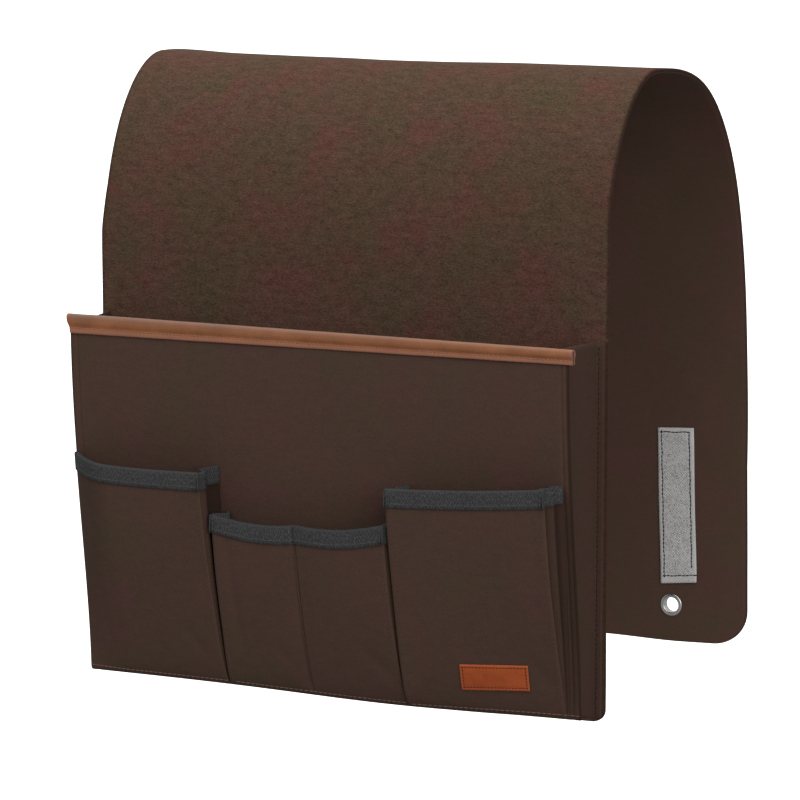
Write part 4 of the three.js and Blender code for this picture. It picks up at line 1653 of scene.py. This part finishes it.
class BandTree(PieceTree):
    """The geometry tree that sweeps the leather band's section along the pocket's mouth.

    Attributes:
        SETTLED: Rise of its lower and of its upper edge, each at the left and at the right end.
        SLANT: How much its left end is shorter, above and below, and the length over which it is.
        TURN: Length round the section from one of its points to the next, in metres.
    """

    NAME = "leather_band"
    INPUTS = {"Start": "Vector", "End": "Vector", "Steps": "Int", "Unevenness": "Float"}
    LOW = -10.0
    HEIGHT = 11.4
    SETTLED = ((0.8, 1.5), (1.3, -1.1))
    SLANT = (1.4, 3.6)
    SLANT_LENGTH = 12.0
    TURN = 0.0013

    def lay_out(self, nodes: Nodes, given: Given) -> Socket:
        """Adds the nodes that sweep the section and let it lie a little unevenly."""
        section = nodes.out("GeometryNodeMeshToCurve", {0: given["Geometry"]})
        ends = {"Start": given["Start"], "End": given["End"]}
        line = nodes.out("GeometryNodeCurvePrimitiveLine", ends)
        path = nodes.out("GeometryNodeResampleCurve", {"Curve": line, "Count": given["Steps"]})
        level = nodes.out("GeometryNodeSetCurveNormal", {"Curve": path}, mode="Z_UP")
        shape = {"Curve": level, "Profile Curve": section, "Fill Caps": True}
        swept = nodes.out("GeometryNodeCurveToMesh", shape)
        place = nodes.out("GeometryNodeInputPosition")
        waves = {"Vector": place, "Scale": 60.0, "Detail": 1.0}
        noise = nodes.add("ShaderNodeTexNoise", waves).outputs["Color"]
        middle = nodes.out("ShaderNodeVectorMath", {0: noise, 1: (0.5,) * 3}, operation="SUBTRACT")
        sized = {0: middle, "Scale": given["Unevenness"]}
        shift = nodes.out("ShaderNodeVectorMath", sized, operation="SCALE")
        return nodes.out("GeometryNodeSetPosition", {"Geometry": swept, "Offset": shift})

    def sweep(self, name: str, section: Grid, width: float, before: float, top: float) -> Piece:
        """Sweeps the section.

        Args:
            name: The piece's name.
            section: Closed outline as (distance before the panel, height over its edge).
            width: Length of the band.
            before: How far the panel stands before the flap.
            top: Height of the panel's edge.

        Returns:
            The band, as a plain mesh.
        """
        flat = np.column_stack([section[:, 0], -section[:, 1], np.zeros(len(section))]) * MM
        count = len(flat)
        mesh = bpy.data.meshes.new(name)
        mesh.from_pydata(flat.tolist(), [(k, (k + 1) % count) for k in range(count)], [])
        piece = self.grown(
            mesh,
            Start=frame_point(-width / 2, -before, top),
            End=frame_point(width / 2, -before, top),
            Steps=120,
            Unevenness=0.4 * MM,
            Finish=TAN.material(),
        )
        self.finish(piece.data, width, top, count)
        outwards(piece.data)
        return piece

    def settled(self, share: Grid, height: Grid | float) -> Grid:
        """Gives the height over the panel's edge at a share of the length, as the band lies after use."""
        low, high = (lerp(*ends, share) for ends in self.SETTLED)
        return height + lerp(low, high, (height - self.LOW) / self.HEIGHT)

    def finish(self, mesh: Mesh, width: float, top: float, count: int) -> None:
        """Settles the band, cuts its left end aslant and lays coordinates along it and round it."""
        co = np.empty(len(mesh.vertices) * 3, np.float32)
        mesh.vertices.foreach_get("co", co)
        co = co.reshape(-1, 3)
        height = co[:, 2] / MM - top - PART_ORIGIN[2]
        share = co[:, 0] / MM / width + 0.5
        near = unit(1.0 - share * width / self.SLANT_LENGTH)
        co[:, 0] += near * lerp(*self.SLANT, unit(height / self.LOW)) * MM
        co[:, 2] = (self.settled(share, height) + top + PART_ORIGIN[2]) * MM
        mesh.vertices.foreach_set("co", co.ravel())
        round_it = (np.arange(len(co)) % count) * self.TURN
        ends = unit(1.0 - (co[:, 0].max() - np.abs(co[:, 0])) / 0.0022)
        up = (co[:, 2] - co[:, 2].min()) / (co[:, 2].max() - co[:, 2].min())
        # The tone follows the height: the worn colour toward the foot, the dull colour along the roll's top.
        edge = np.interp(up, [0.0, 0.2, 0.34, 0.55, 1.0], [0.9, 0.7, 0.0, 0.0, -0.9])
        lay_cloth(mesh, np.column_stack([co[:, 0], round_it]), np.where(ends > 0.3, ends, edge))


# The small pockets


@dataclass
class SmallPocket:
    """A small pocket before the magazine panel: a swelling front, pleated sides and a folded mouth tape.

    Attributes:
        name: The body's name.
        mouth: Height of the mouth at both ends.
        dip: How far the mouth hangs in the middle.
        pinch: How far each of two compartments' mouths hangs.
        room: Room behind the cloth at both edges.
        swell: How fast the cloth swells from the foot at both edges.
        wrap: Length over which the cloth wraps forward from the panel's edge, instead of a left side.
        divider: Where a seam divides the pocket at its mouth and at its foot, if one does.
        folds: Folds of each side.
        spread: How far each side fans out at the panel.
        slump: How far each side's edge rises toward the panel.
        flare: How far the front reaches out at its foot, on each side.
        shade: How dark the right side is painted by share of the way back, as shade in its folds.
        creases: Folds pressed into the front.
        seed: Makes its unevenness its own.
        pull: Depth and width of the dividing seam's groove, then of the hollow round it.
        row: How far the seams lie inside the edges and above the foot.
        wall_tape: Thickness of the tape on its sides.
        bend: Half the length over which its sides bend, in metres; not used.
    """

    sewer: SeamTree
    name: str
    left: float
    right: float
    mouth: Pair
    dip: float
    room: Pair
    swell: Pair
    pinch: float = 0.0
    wrap: float = 0.0
    divider: Pair | None = None
    folds: tuple[int, int] = (1, 1)
    spread: Pair = (0.0, 0.0)
    slump: Pair = (0.0, 0.0)
    flare: Pair = (0.0, 0.0)
    shade: Shade = UNSHADED
    creases: tuple[Crease, ...] = ()
    seed: float = 0.0
    wave: float = 0.45
    wave_size: float = 62.0
    pull: tuple[Pair, Pair] = ((1.6, 1.1), (0.9, 7.0))
    step: float = 1.5
    row: float = 2.2
    wall_tape: float = 0.7
    bend: float = 0.008

    def edge(self, side: Side) -> float:
        """Gives the place of the mouth's left or right end."""
        return side.of((self.left, self.right))

    def share(self, x: Grid) -> Grid:
        """Gives the share of the way across."""
        return unit((x - self.left) / (self.right - self.left))

    def mouth_at(self, x: Grid) -> Grid:
        """Gives the mouth's height."""
        s = self.share(x)
        fall = self.dip * np.sin(np.pi * s) + self.pinch * np.abs(np.sin(2 * np.pi * s))
        return lerp(*self.mouth, s) - fall

    def edge_at(self, x: Grid) -> Grid:
        """Gives the height of the cloth's cut edge, inside the tape."""
        return self.mouth_at(x) - POCKET.tape_thickness

    def foot_share(self, x: Grid, z: Grid) -> Grid:
        """Gives how much of the foot's flare shows at a height, from 1 at the foot to 0 at the mouth."""
        t = (z - POCKET.small_foot) / (self.mouth_at(x) - POCKET.small_foot)
        return unit(1.0 - t) ** 2

    def edge_x(self, side: Side, z: Grid) -> Grid:
        """Gives the place of the front's upright edge at a height."""
        edge = self.edge(side)
        return edge + side.sign * side.of(self.flare) * self.foot_share(edge + 0.0 * z, z)

    def divider_at(self, z: Grid) -> Grid:
        """Gives the place of the dividing seam at a height."""
        t = unit((z - POCKET.small_foot) / (min(self.mouth) - POCKET.small_foot))
        return lerp(self.divider[1], self.divider[0], t)

    def room_at(self, x: Grid, z: Grid) -> Grid:
        """Gives the room behind the cloth."""
        s = self.share(x)
        t = unit((z - POCKET.small_foot) / (self.mouth_at(x) - POCKET.small_foot))
        full = lerp(*self.room, s) * np.sin(t * np.pi / 2) ** lerp(*self.swell, s)
        press, power = POCKET.small_press
        sewn = POCKET.small_gap - press * (1.0 - t) ** power
        if not self.wrap:
            return sewn + full
        wrapped = unit((x - self.left) / self.wrap)
        press, power = POCKET.wrap_press
        return sewn - press * (1.0 - wrapped) ** power + full * np.sin(wrapped * np.pi / 2)

    def face(self, x: Grid, z: Grid) -> Grid:
        """Gives the outer face of the pocket's cloth, with its folds."""
        room = self.room_at(x, z)
        free = unit(room / 8.0)
        uneven = self.wave * free * wander(x, z, self.wave_size, self.seed)
        fold = sum((crease.at(x, z) for crease in self.creases), np.zeros(np.broadcast(x, z).shape))
        if self.divider is not None:
            away = x - self.divider_at(z)
            for depth, reach in self.pull:
                fold = fold + depth * np.exp(-((away / reach) ** 2))
        return POCKET.face(x, z) + room + POCKET.cloth + uneven - free * fold

    def columns_across(self) -> Grid:
        """Gives places across for the front's points, closer at the divider."""
        x = np.linspace(self.left, self.right, spacing(self.right - self.left, self.step))
        if self.divider is None:
            return x
        close = np.linspace(min(self.divider) - 2.5, max(self.divider) + 2.5, 22)
        return np.unique(np.concatenate([x, close]))

    def build(self) -> list[Piece]:
        """Makes the pocket's pieces, hanging the front's pieces on its body unless the front wraps back; the
        sides and the partition keep baked transforms.
        """
        made = [self.front(), self.front_tape(), *self.seams()]
        for side in self.sewn_sides():
            made += self.side(side)
        if self.divider is not None:
            made.append(self.partition())
        return made

    def sewn_sides(self) -> tuple[Side, ...]:
        """Gives the sides that are sewn to a gusset: both, or the right one where the front wraps back."""
        return ENDS[1:] if self.wrap else ENDS

    def settle(self, piece: Piece) -> None:
        """Hangs a piece of the front on the pocket, or, where its cloth wraps back to the panel, bakes its
        transform.
        """
        if self.wrap:
            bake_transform(piece)
        else:
            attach(piece, self.name)

    def front(self) -> Piece:
        """Makes the front's cloth."""
        x = self.columns_across()
        t = np.linspace(0.0, 1.0, spacing(max(self.mouth), self.step)) ** 1.25
        gx, gt = np.meshgrid(x, t)
        gz = lerp(POCKET.small_foot, self.edge_at(gx), gt)
        gx = gx + lerp(-self.flare[0], self.flare[1], self.share(gx)) * (1 - gt) ** 2
        grids = [on_face(self.face, gx, gz, before) for before in (0.0, -POCKET.cloth)]
        uv = stacked(gx, gz)
        front = shell(f"{self.name}_front", *grids, uv, CLOTH, push=0.3, border=3.0)
        nodes = [f"{self.name}_panel"] + (["left_pocket_side"] if self.wrap else [])
        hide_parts(*nodes)
        self.settle(front)
        return front

    def front_tape(self) -> Piece:
        """Folds the mouth's tape over the front."""
        x = self.columns_across()
        section = folded_section(POCKET.cloth, POCKET.tape)
        edge = self.edge_at(x)
        grids = []
        for grow in (POCKET.tape_thickness, 0.02):
            rows = [
                on_face(self.face, x, edge + rise + up * grow, before + out * grow)
                for before, rise, out, up in section
            ]
            grids.append(np.array(rows))
        uv = np.stack(np.meshgrid(x, np.linspace(0.0, 2 * POCKET.tape, len(section))), axis=-1)
        tape = shell(f"{self.name}_tape", *grids, uv, TAPE, push=0.15, border=1.5)
        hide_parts(f"{self.name}_mouth_tape")
        self.settle(tape)
        return tape

    def seams(self) -> list[Piece]:
        """Sews the front's foot, its upright edges and the tape's lower edge."""
        x = np.linspace(self.left + 2.0, self.right - 2.0, 90)
        z = np.linspace(POCKET.small_foot + 4.0, min(self.mouth) - POCKET.tape - 3.0, 70)
        foot = [Seam.on(self.face, x, np.full_like(x, POCKET.small_foot + self.row))]
        edges = [self.edge_x(side, z) - side.sign * self.row for side in self.sewn_sides()]
        rows = [Seam.on(self.face, edge, z) for edge in edges]
        if self.divider is not None:
            rows.append(Seam.on(self.face, self.divider_at(z), z))
        low = [Seam.on(self.face, x, self.edge_at(x) - POCKET.tape + 2.4, POCKET.tape_thickness + 0.05)]
        made = []
        kinds = (("foot", foot, HEM_STITCH), ("edge", rows, EDGE_STITCH), ("tape", low, TAPE_STITCH))
        for part, seams, stitch in kinds:
            made.append(self.sewer.sew(f"{self.name}_{part}_stitches", seams, stitch))
            self.settle(made[-1])
        return made

    def wall(self, side: Side, wrapping: bool = False) -> PleatedWall:
        """Lays out a pleated side from behind the front's edge back to the magazine panel.

        Args:
            side: The pocket's side.
            wrapping: Whether it starts level with the front tape's face, as the tape over it does.

        Returns:
            The wall.
        """
        sign = side.sign
        edge, room = self.edge(side), side.of(self.room)
        folds, spread = side.of(self.folds), side.of(self.spread)

        def corner(share: float, out: float) -> Column:
            """Gives the line of a pleat's corner at a share of the way back."""

            def place(z: Grid) -> Plan:
                """Gives the corner's place at each height."""
                behind = self.room_at(edge + 0.0 * z, z)
                open_by = unit(behind / room)
                x = self.edge_x(side, z) + sign * ((share * spread + out) * open_by - POCKET.gusset)
                return x, -POCKET.face(x, z) - (1 - share) * (behind + 0.3) - 0.1

            return place

        def round_front(z: Grid) -> Plan:
            """Gives the line level with the front tape's face."""
            x = edge - sign * POCKET.gusset + 0.0 * z
            return x, -self.face(x, z) - POCKET.tape_thickness

        pleats = [-POCKET.small_pleat if 0 < i <= folds and i % 2 == 1 else 0.0 for i in range(folds + 2)]
        columns = [corner(i / (folds + 1), out) for i, out in enumerate(pleats)]
        if not spread:
            columns.insert(1, corner(0.4 / (folds + 1), POCKET.swollen))
        return PleatedWall(side, ([round_front] if wrapping else []) + columns, soft=3)

    def side(self, side: Side) -> list[Piece]:
        """Makes a pleated side and the tape over its upper edge."""
        level = float(self.edge_at(np.array(self.edge(side))))
        # Painted shade on the right side only.
        shade = self.shade if side is Side.RIGHT else UNSHADED
        points = 14 * (side.of(self.folds) + 2)

        def foot(share: Grid) -> Grid:
            """Gives the side's lower edge."""
            return POCKET.small_gusset_foot + 0.0 * share

        def top(share: Grid) -> Grid:
            """Gives the side's upper edge."""
            return level + 0.1 + side.of(self.slump) * share

        cloth = self.wall(side).cloth(f"{self.name}_side_{side.word}", foot, top, 60, points, shade)
        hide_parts(f"{self.name}_gusset" if self.wrap else f"{self.name}_gusset_{side.word}")
        round_it = self.wall(side, wrapping=True)
        tape = round_it.tape(f"{self.name}_side_tape_{side.word}", top, points + 6, self.wall_tape)
        depth = max(self.room)
        low, high = frame_point(0.0, -30.5, 16.0), frame_point(0.0, -42.0 - 0.5 * depth, level)
        for piece in (cloth, tape):
            self.bend_across(piece, low, high)
        return [cloth, tape]

    def bend_across(self, piece: Piece, low: Point, high: Point) -> None:
        """Bakes a piece's transform; the way from low to high is worked out but bends nothing."""
        run = np.array([0.0, high[1] - low[1], high[2] - low[2]])
        run /= np.linalg.norm(run)
        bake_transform(piece)

    def partition(self) -> Piece:
        """Makes the wall between two compartments."""
        t, s = np.meshgrid(shares(50), shares(10), indexing="ij")
        foot = POCKET.small_gusset_foot
        top = float(self.edge_at(np.array(self.divider[0]))) - POCKET.tape + 4.0
        z = lerp(foot, top, t)
        x = self.divider_at(z)
        y = -POCKET.face(x, z) - 0.05 - s * (self.room_at(x, z) - 0.6)
        half = POCKET.gusset / 2
        grids = [STRIP.sagged(stacked(x + across, y, z)) for across in (half, -half)]
        uv = stacked(s * 22.0, z)
        wall = shell(f"{self.name}_wall", *grids, uv, CLOTH, push=0.2, border=2.0)
        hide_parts("twin_pocket_partition")
        self.bend_across(wall, frame_point(0.0, -30.0, 16.0), frame_point(0.0, -53.0, top))
        return wall


@dataclass
class LabelPatch:
    """The bare leather patch near the right pocket's foot, cut askew, its seam in a groove."""

    sewer: SeamTree
    pocket: SmallPocket
    centre: Pair = (114.02, 30.6)
    width: float = 42.0
    height: float = 15.6
    turn: float = math.radians(2.4)
    skew: float = 0.09
    thickness: float = 1.1
    row: float = 1.5
    groove: Pair = (0.3, 0.6)

    def at(self, u: Grid, v: Grid) -> Plan:
        """Gives the (x, z) of shares of the patch's width and height."""
        up = (v - 0.5) * self.height
        along = (u - 0.5) * self.width + self.skew * up
        cos, sin = math.cos(self.turn), math.sin(self.turn)
        return self.centre[0] + along * cos - up * sin, self.centre[1] + along * sin + up * cos

    def build(self) -> list[Piece]:
        """Makes the patch and the thread round it."""
        u, v = np.meshgrid(shares(60), shares(20))
        x, z = self.at(u, v)
        gap = np.minimum(np.minimum(u, 1 - u) * self.width, np.minimum(v, 1 - v) * self.height)
        depth, reach = self.groove
        pressed = depth * np.exp(-(((gap - self.row) / reach) ** 2)) - 0.1 * unit(gap / 5.0)
        lifts = (0.02 + self.thickness - pressed, 0.02)
        grids = [on_face(self.pocket.face, x, z, lift) for lift in lifts]
        uv = stacked(u * self.width, v * self.height)
        patch = shell("bare_label_patch", *grids, uv, PATCH, push=0.15, border=1.2)
        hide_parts("label_patch")
        a, b = self.row / self.width, self.row / self.height
        corners = [(a, b), (1 - a, b), (1 - a, 1 - b), (a, 1 - b), (a, b)]
        rows = []
        t = shares(30)
        for (u0, v0), (u1, v1) in zip(corners, corners[1:]):
            x, z = self.at(lerp(u0, u1, t), lerp(v0, v1, t))
            rows.append(Seam.on(self.pocket.face, x, z, self.thickness - 0.2))
        stitches = self.sewer.sew("label_stitches", rows, PATCH_STITCH)
        for piece in (patch, stitches):
            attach(piece, self.pocket.name)
        return [patch, stitches]


# Light, floor and camera


@dataclass
class Studio:
    """A white studio with three soft suns, and the camera at the photograph's place."""

    camera_at: Point = (1.07026, -2.28275, 0.17679)
    look_at: Point = (-0.00882, 0.01597, -0.20738)
    lens: float = 187.42
    sensor: float = 36.0
    roll: float = 0.00175
    suns: tuple[tuple[str, Point, float, float], ...] = (
        ("key", (-0.1, 0.27, 0.95), 3.2, 30.0),
        ("front", (0.0, -0.6, 0.8), 1.65, 40.0),
        ("fill", (0.65, -0.7, 0.33), 1.75, 40.0),
    )
    floor_z: float = -0.62
    floor_reach: float = 30.0
    floor_tone: float = 0.86
    bounce: float = 0.28
    sky: float = 0.4

    def build(self) -> None:
        """Sets up camera, lights, world and floor."""
        scene = bpy.context.scene
        data = bpy.data.cameras.new("camera")
        data.lens = self.lens
        data.sensor_width = self.sensor
        data.clip_end = 2 * self.floor_reach
        camera = linked("camera", data)
        camera.location = self.camera_at
        level = (Vector(self.look_at) - Vector(self.camera_at)).to_track_quat("-Z", "Y")
        camera.rotation_euler = (level @ Quaternion((0.0, 0.0, 1.0), self.roll)).to_euler()
        scene.camera = camera
        for sun in self.suns:
            self.sun(*sun)
        self.world()
        self.floor()
        scene.view_settings.view_transform = "Standard"

    def sun(self, name: str, toward: Point, strength: float, angle: float) -> None:
        """Adds a soft sun that shines from a direction."""
        data = bpy.data.lights.new(name, "SUN")
        data.energy = strength
        data.angle = math.radians(angle)
        linked(name, data).rotation_euler = Vector(toward).to_track_quat("Z", "Y").to_euler()

    def world(self) -> None:
        """Lights the scene evenly, and shows white behind it."""
        world = bpy.data.worlds.new("studio")
        world.use_nodes = True
        bpy.context.scene.world = world
        nodes = Nodes(world.node_tree)
        path = nodes.add("ShaderNodeLightPath").outputs
        seen = nodes.math("MAXIMUM", path["Is Camera Ray"], path["Is Glossy Ray"])
        seen = nodes.math("MAXIMUM", seen, path["Is Transmission Ray"])
        strength = nodes.out("ShaderNodeMapRange", {"Value": seen, "To Min": self.sky, "To Max": 1.0})
        light = nodes.out("ShaderNodeBackground", {"Color": rgba(WHITE), "Strength": strength})
        nodes.add("ShaderNodeOutputWorld", {"Surface": light})

    def floor(self) -> None:
        """Lays a white floor well below the hem, as under a sofa's arm."""
        mesh = bpy.data.meshes.new("studio_floor")
        reach = self.floor_reach
        corners = [(-reach, -reach), (reach, -reach), (reach, reach), (-reach, reach)]
        mesh.from_pydata([(x, y, self.floor_z) for x, y in corners], [], [(0, 1, 2, 3)])
        floor = linked("studio_floor", mesh)
        material = bpy.data.materials.new("studio_white")
        material.use_nodes = True
        nodes = Nodes(material.node_tree)
        seen = nodes.add("ShaderNodeLightPath").outputs["Is Camera Ray"]
        tone = nodes.mix(seen, rgba((self.bounce,) * 3), rgba((self.floor_tone,) * 3))
        shader = nodes.out("ShaderNodeBsdfDiffuse", {"Color": tone})
        nodes.add("ShaderNodeOutputMaterial", {"Surface": shader})
        mesh.materials.append(material)


def small_pockets(sewer: SeamTree) -> list[SmallPocket]:
    """Gives the three small pockets with the photographed mouths, folds and swell."""
    return [
        SmallPocket(
            sewer, "left_pocket", -162.0, -65.2, (143.5, 141.2), 1.5, (25.0, 25.0), (0.6, 0.6),
            # The left pocket's right side is painted dark as shade.
            wrap=36.0, seed=1.0, slump=(0.0, 0.8), flare=(0.0, -0.7), shade=dusk(0.9),
            creases=(
                Crease((-72.0, 20.0), (-90.0, 46.0), 4.0, 0.6),
                Crease((-150.0, 30.0), (-128.0, 80.0), 6.0, 0.5),
            ),
        ),
        SmallPocket(
            sewer, "twin_pocket", -60.8, 53.5, (115.8, 119.2), 3.5, (21.0, 25.5), (0.58, 0.58),
            pinch=2.0, divider=(-6.2, -8.8), seed=2.0, slump=(-1.0, -2.5), flare=(3.6, 0.0),
            creases=(
                Crease((-52.0, 104.0), (-50.0, 30.0), 3.0, 0.7),
                Crease((48.0, 24.0), (30.0, 44.0), 4.0, 0.6),
                Crease((-15.0, 20.0), (-27.0, 40.0), 4.0, 0.4),
            ),
        ),
        SmallPocket(
            sewer, "right_pocket", 57.0, 155.5, (141.4, 147.5), 1.0, (26.0, 24.0), (0.42, 0.75),
            folds=(3, 3), spread=(0.0, 2.0), seed=3.0, slump=(-1.5, -0.8), flare=(2.0, -1.4),
            # The right pocket's right side: painted shade, dark where it meets the panel's edge and behind
            # the ridge, light on the ridge.
            shade=(
                (0.3, 0.85), (0.37, 0.3), (0.48, 0.2), (0.53, 0.95), (0.86, 0.95), (0.93, 0.65), (1.0, 0.55),
            ),
            creases=(
                Crease((64.0, 22.0), (76.0, 50.0), 4.0, 0.6),
                Crease((149.0, 120.0), (145.0, 60.0), 4.0, 0.5),
                Crease((150.0, 24.0), (136.0, 44.0), 5.0, 0.5),
            ),
        ),
    ]


def main() -> None:
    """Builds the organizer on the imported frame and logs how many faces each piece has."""
    logging.basicConfig(level=logging.INFO, format="%(name)s: %(message)s")
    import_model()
    Studio().build()
    sewer = SeamTree()
    pockets = small_pockets(sewer)
    carriers = [FeltStrip(sewer), Hardware(sewer, LoopTree()), MagazinePocket(sewer)]
    parts = [*carriers, *pockets, LabelPatch(sewer, pockets[-1])]
    for part in parts:
        for piece in part.build():
            log.info("%s: %d faces", piece.name, len(piece.data.polygons))


if __name__ == "__main__":
    main()
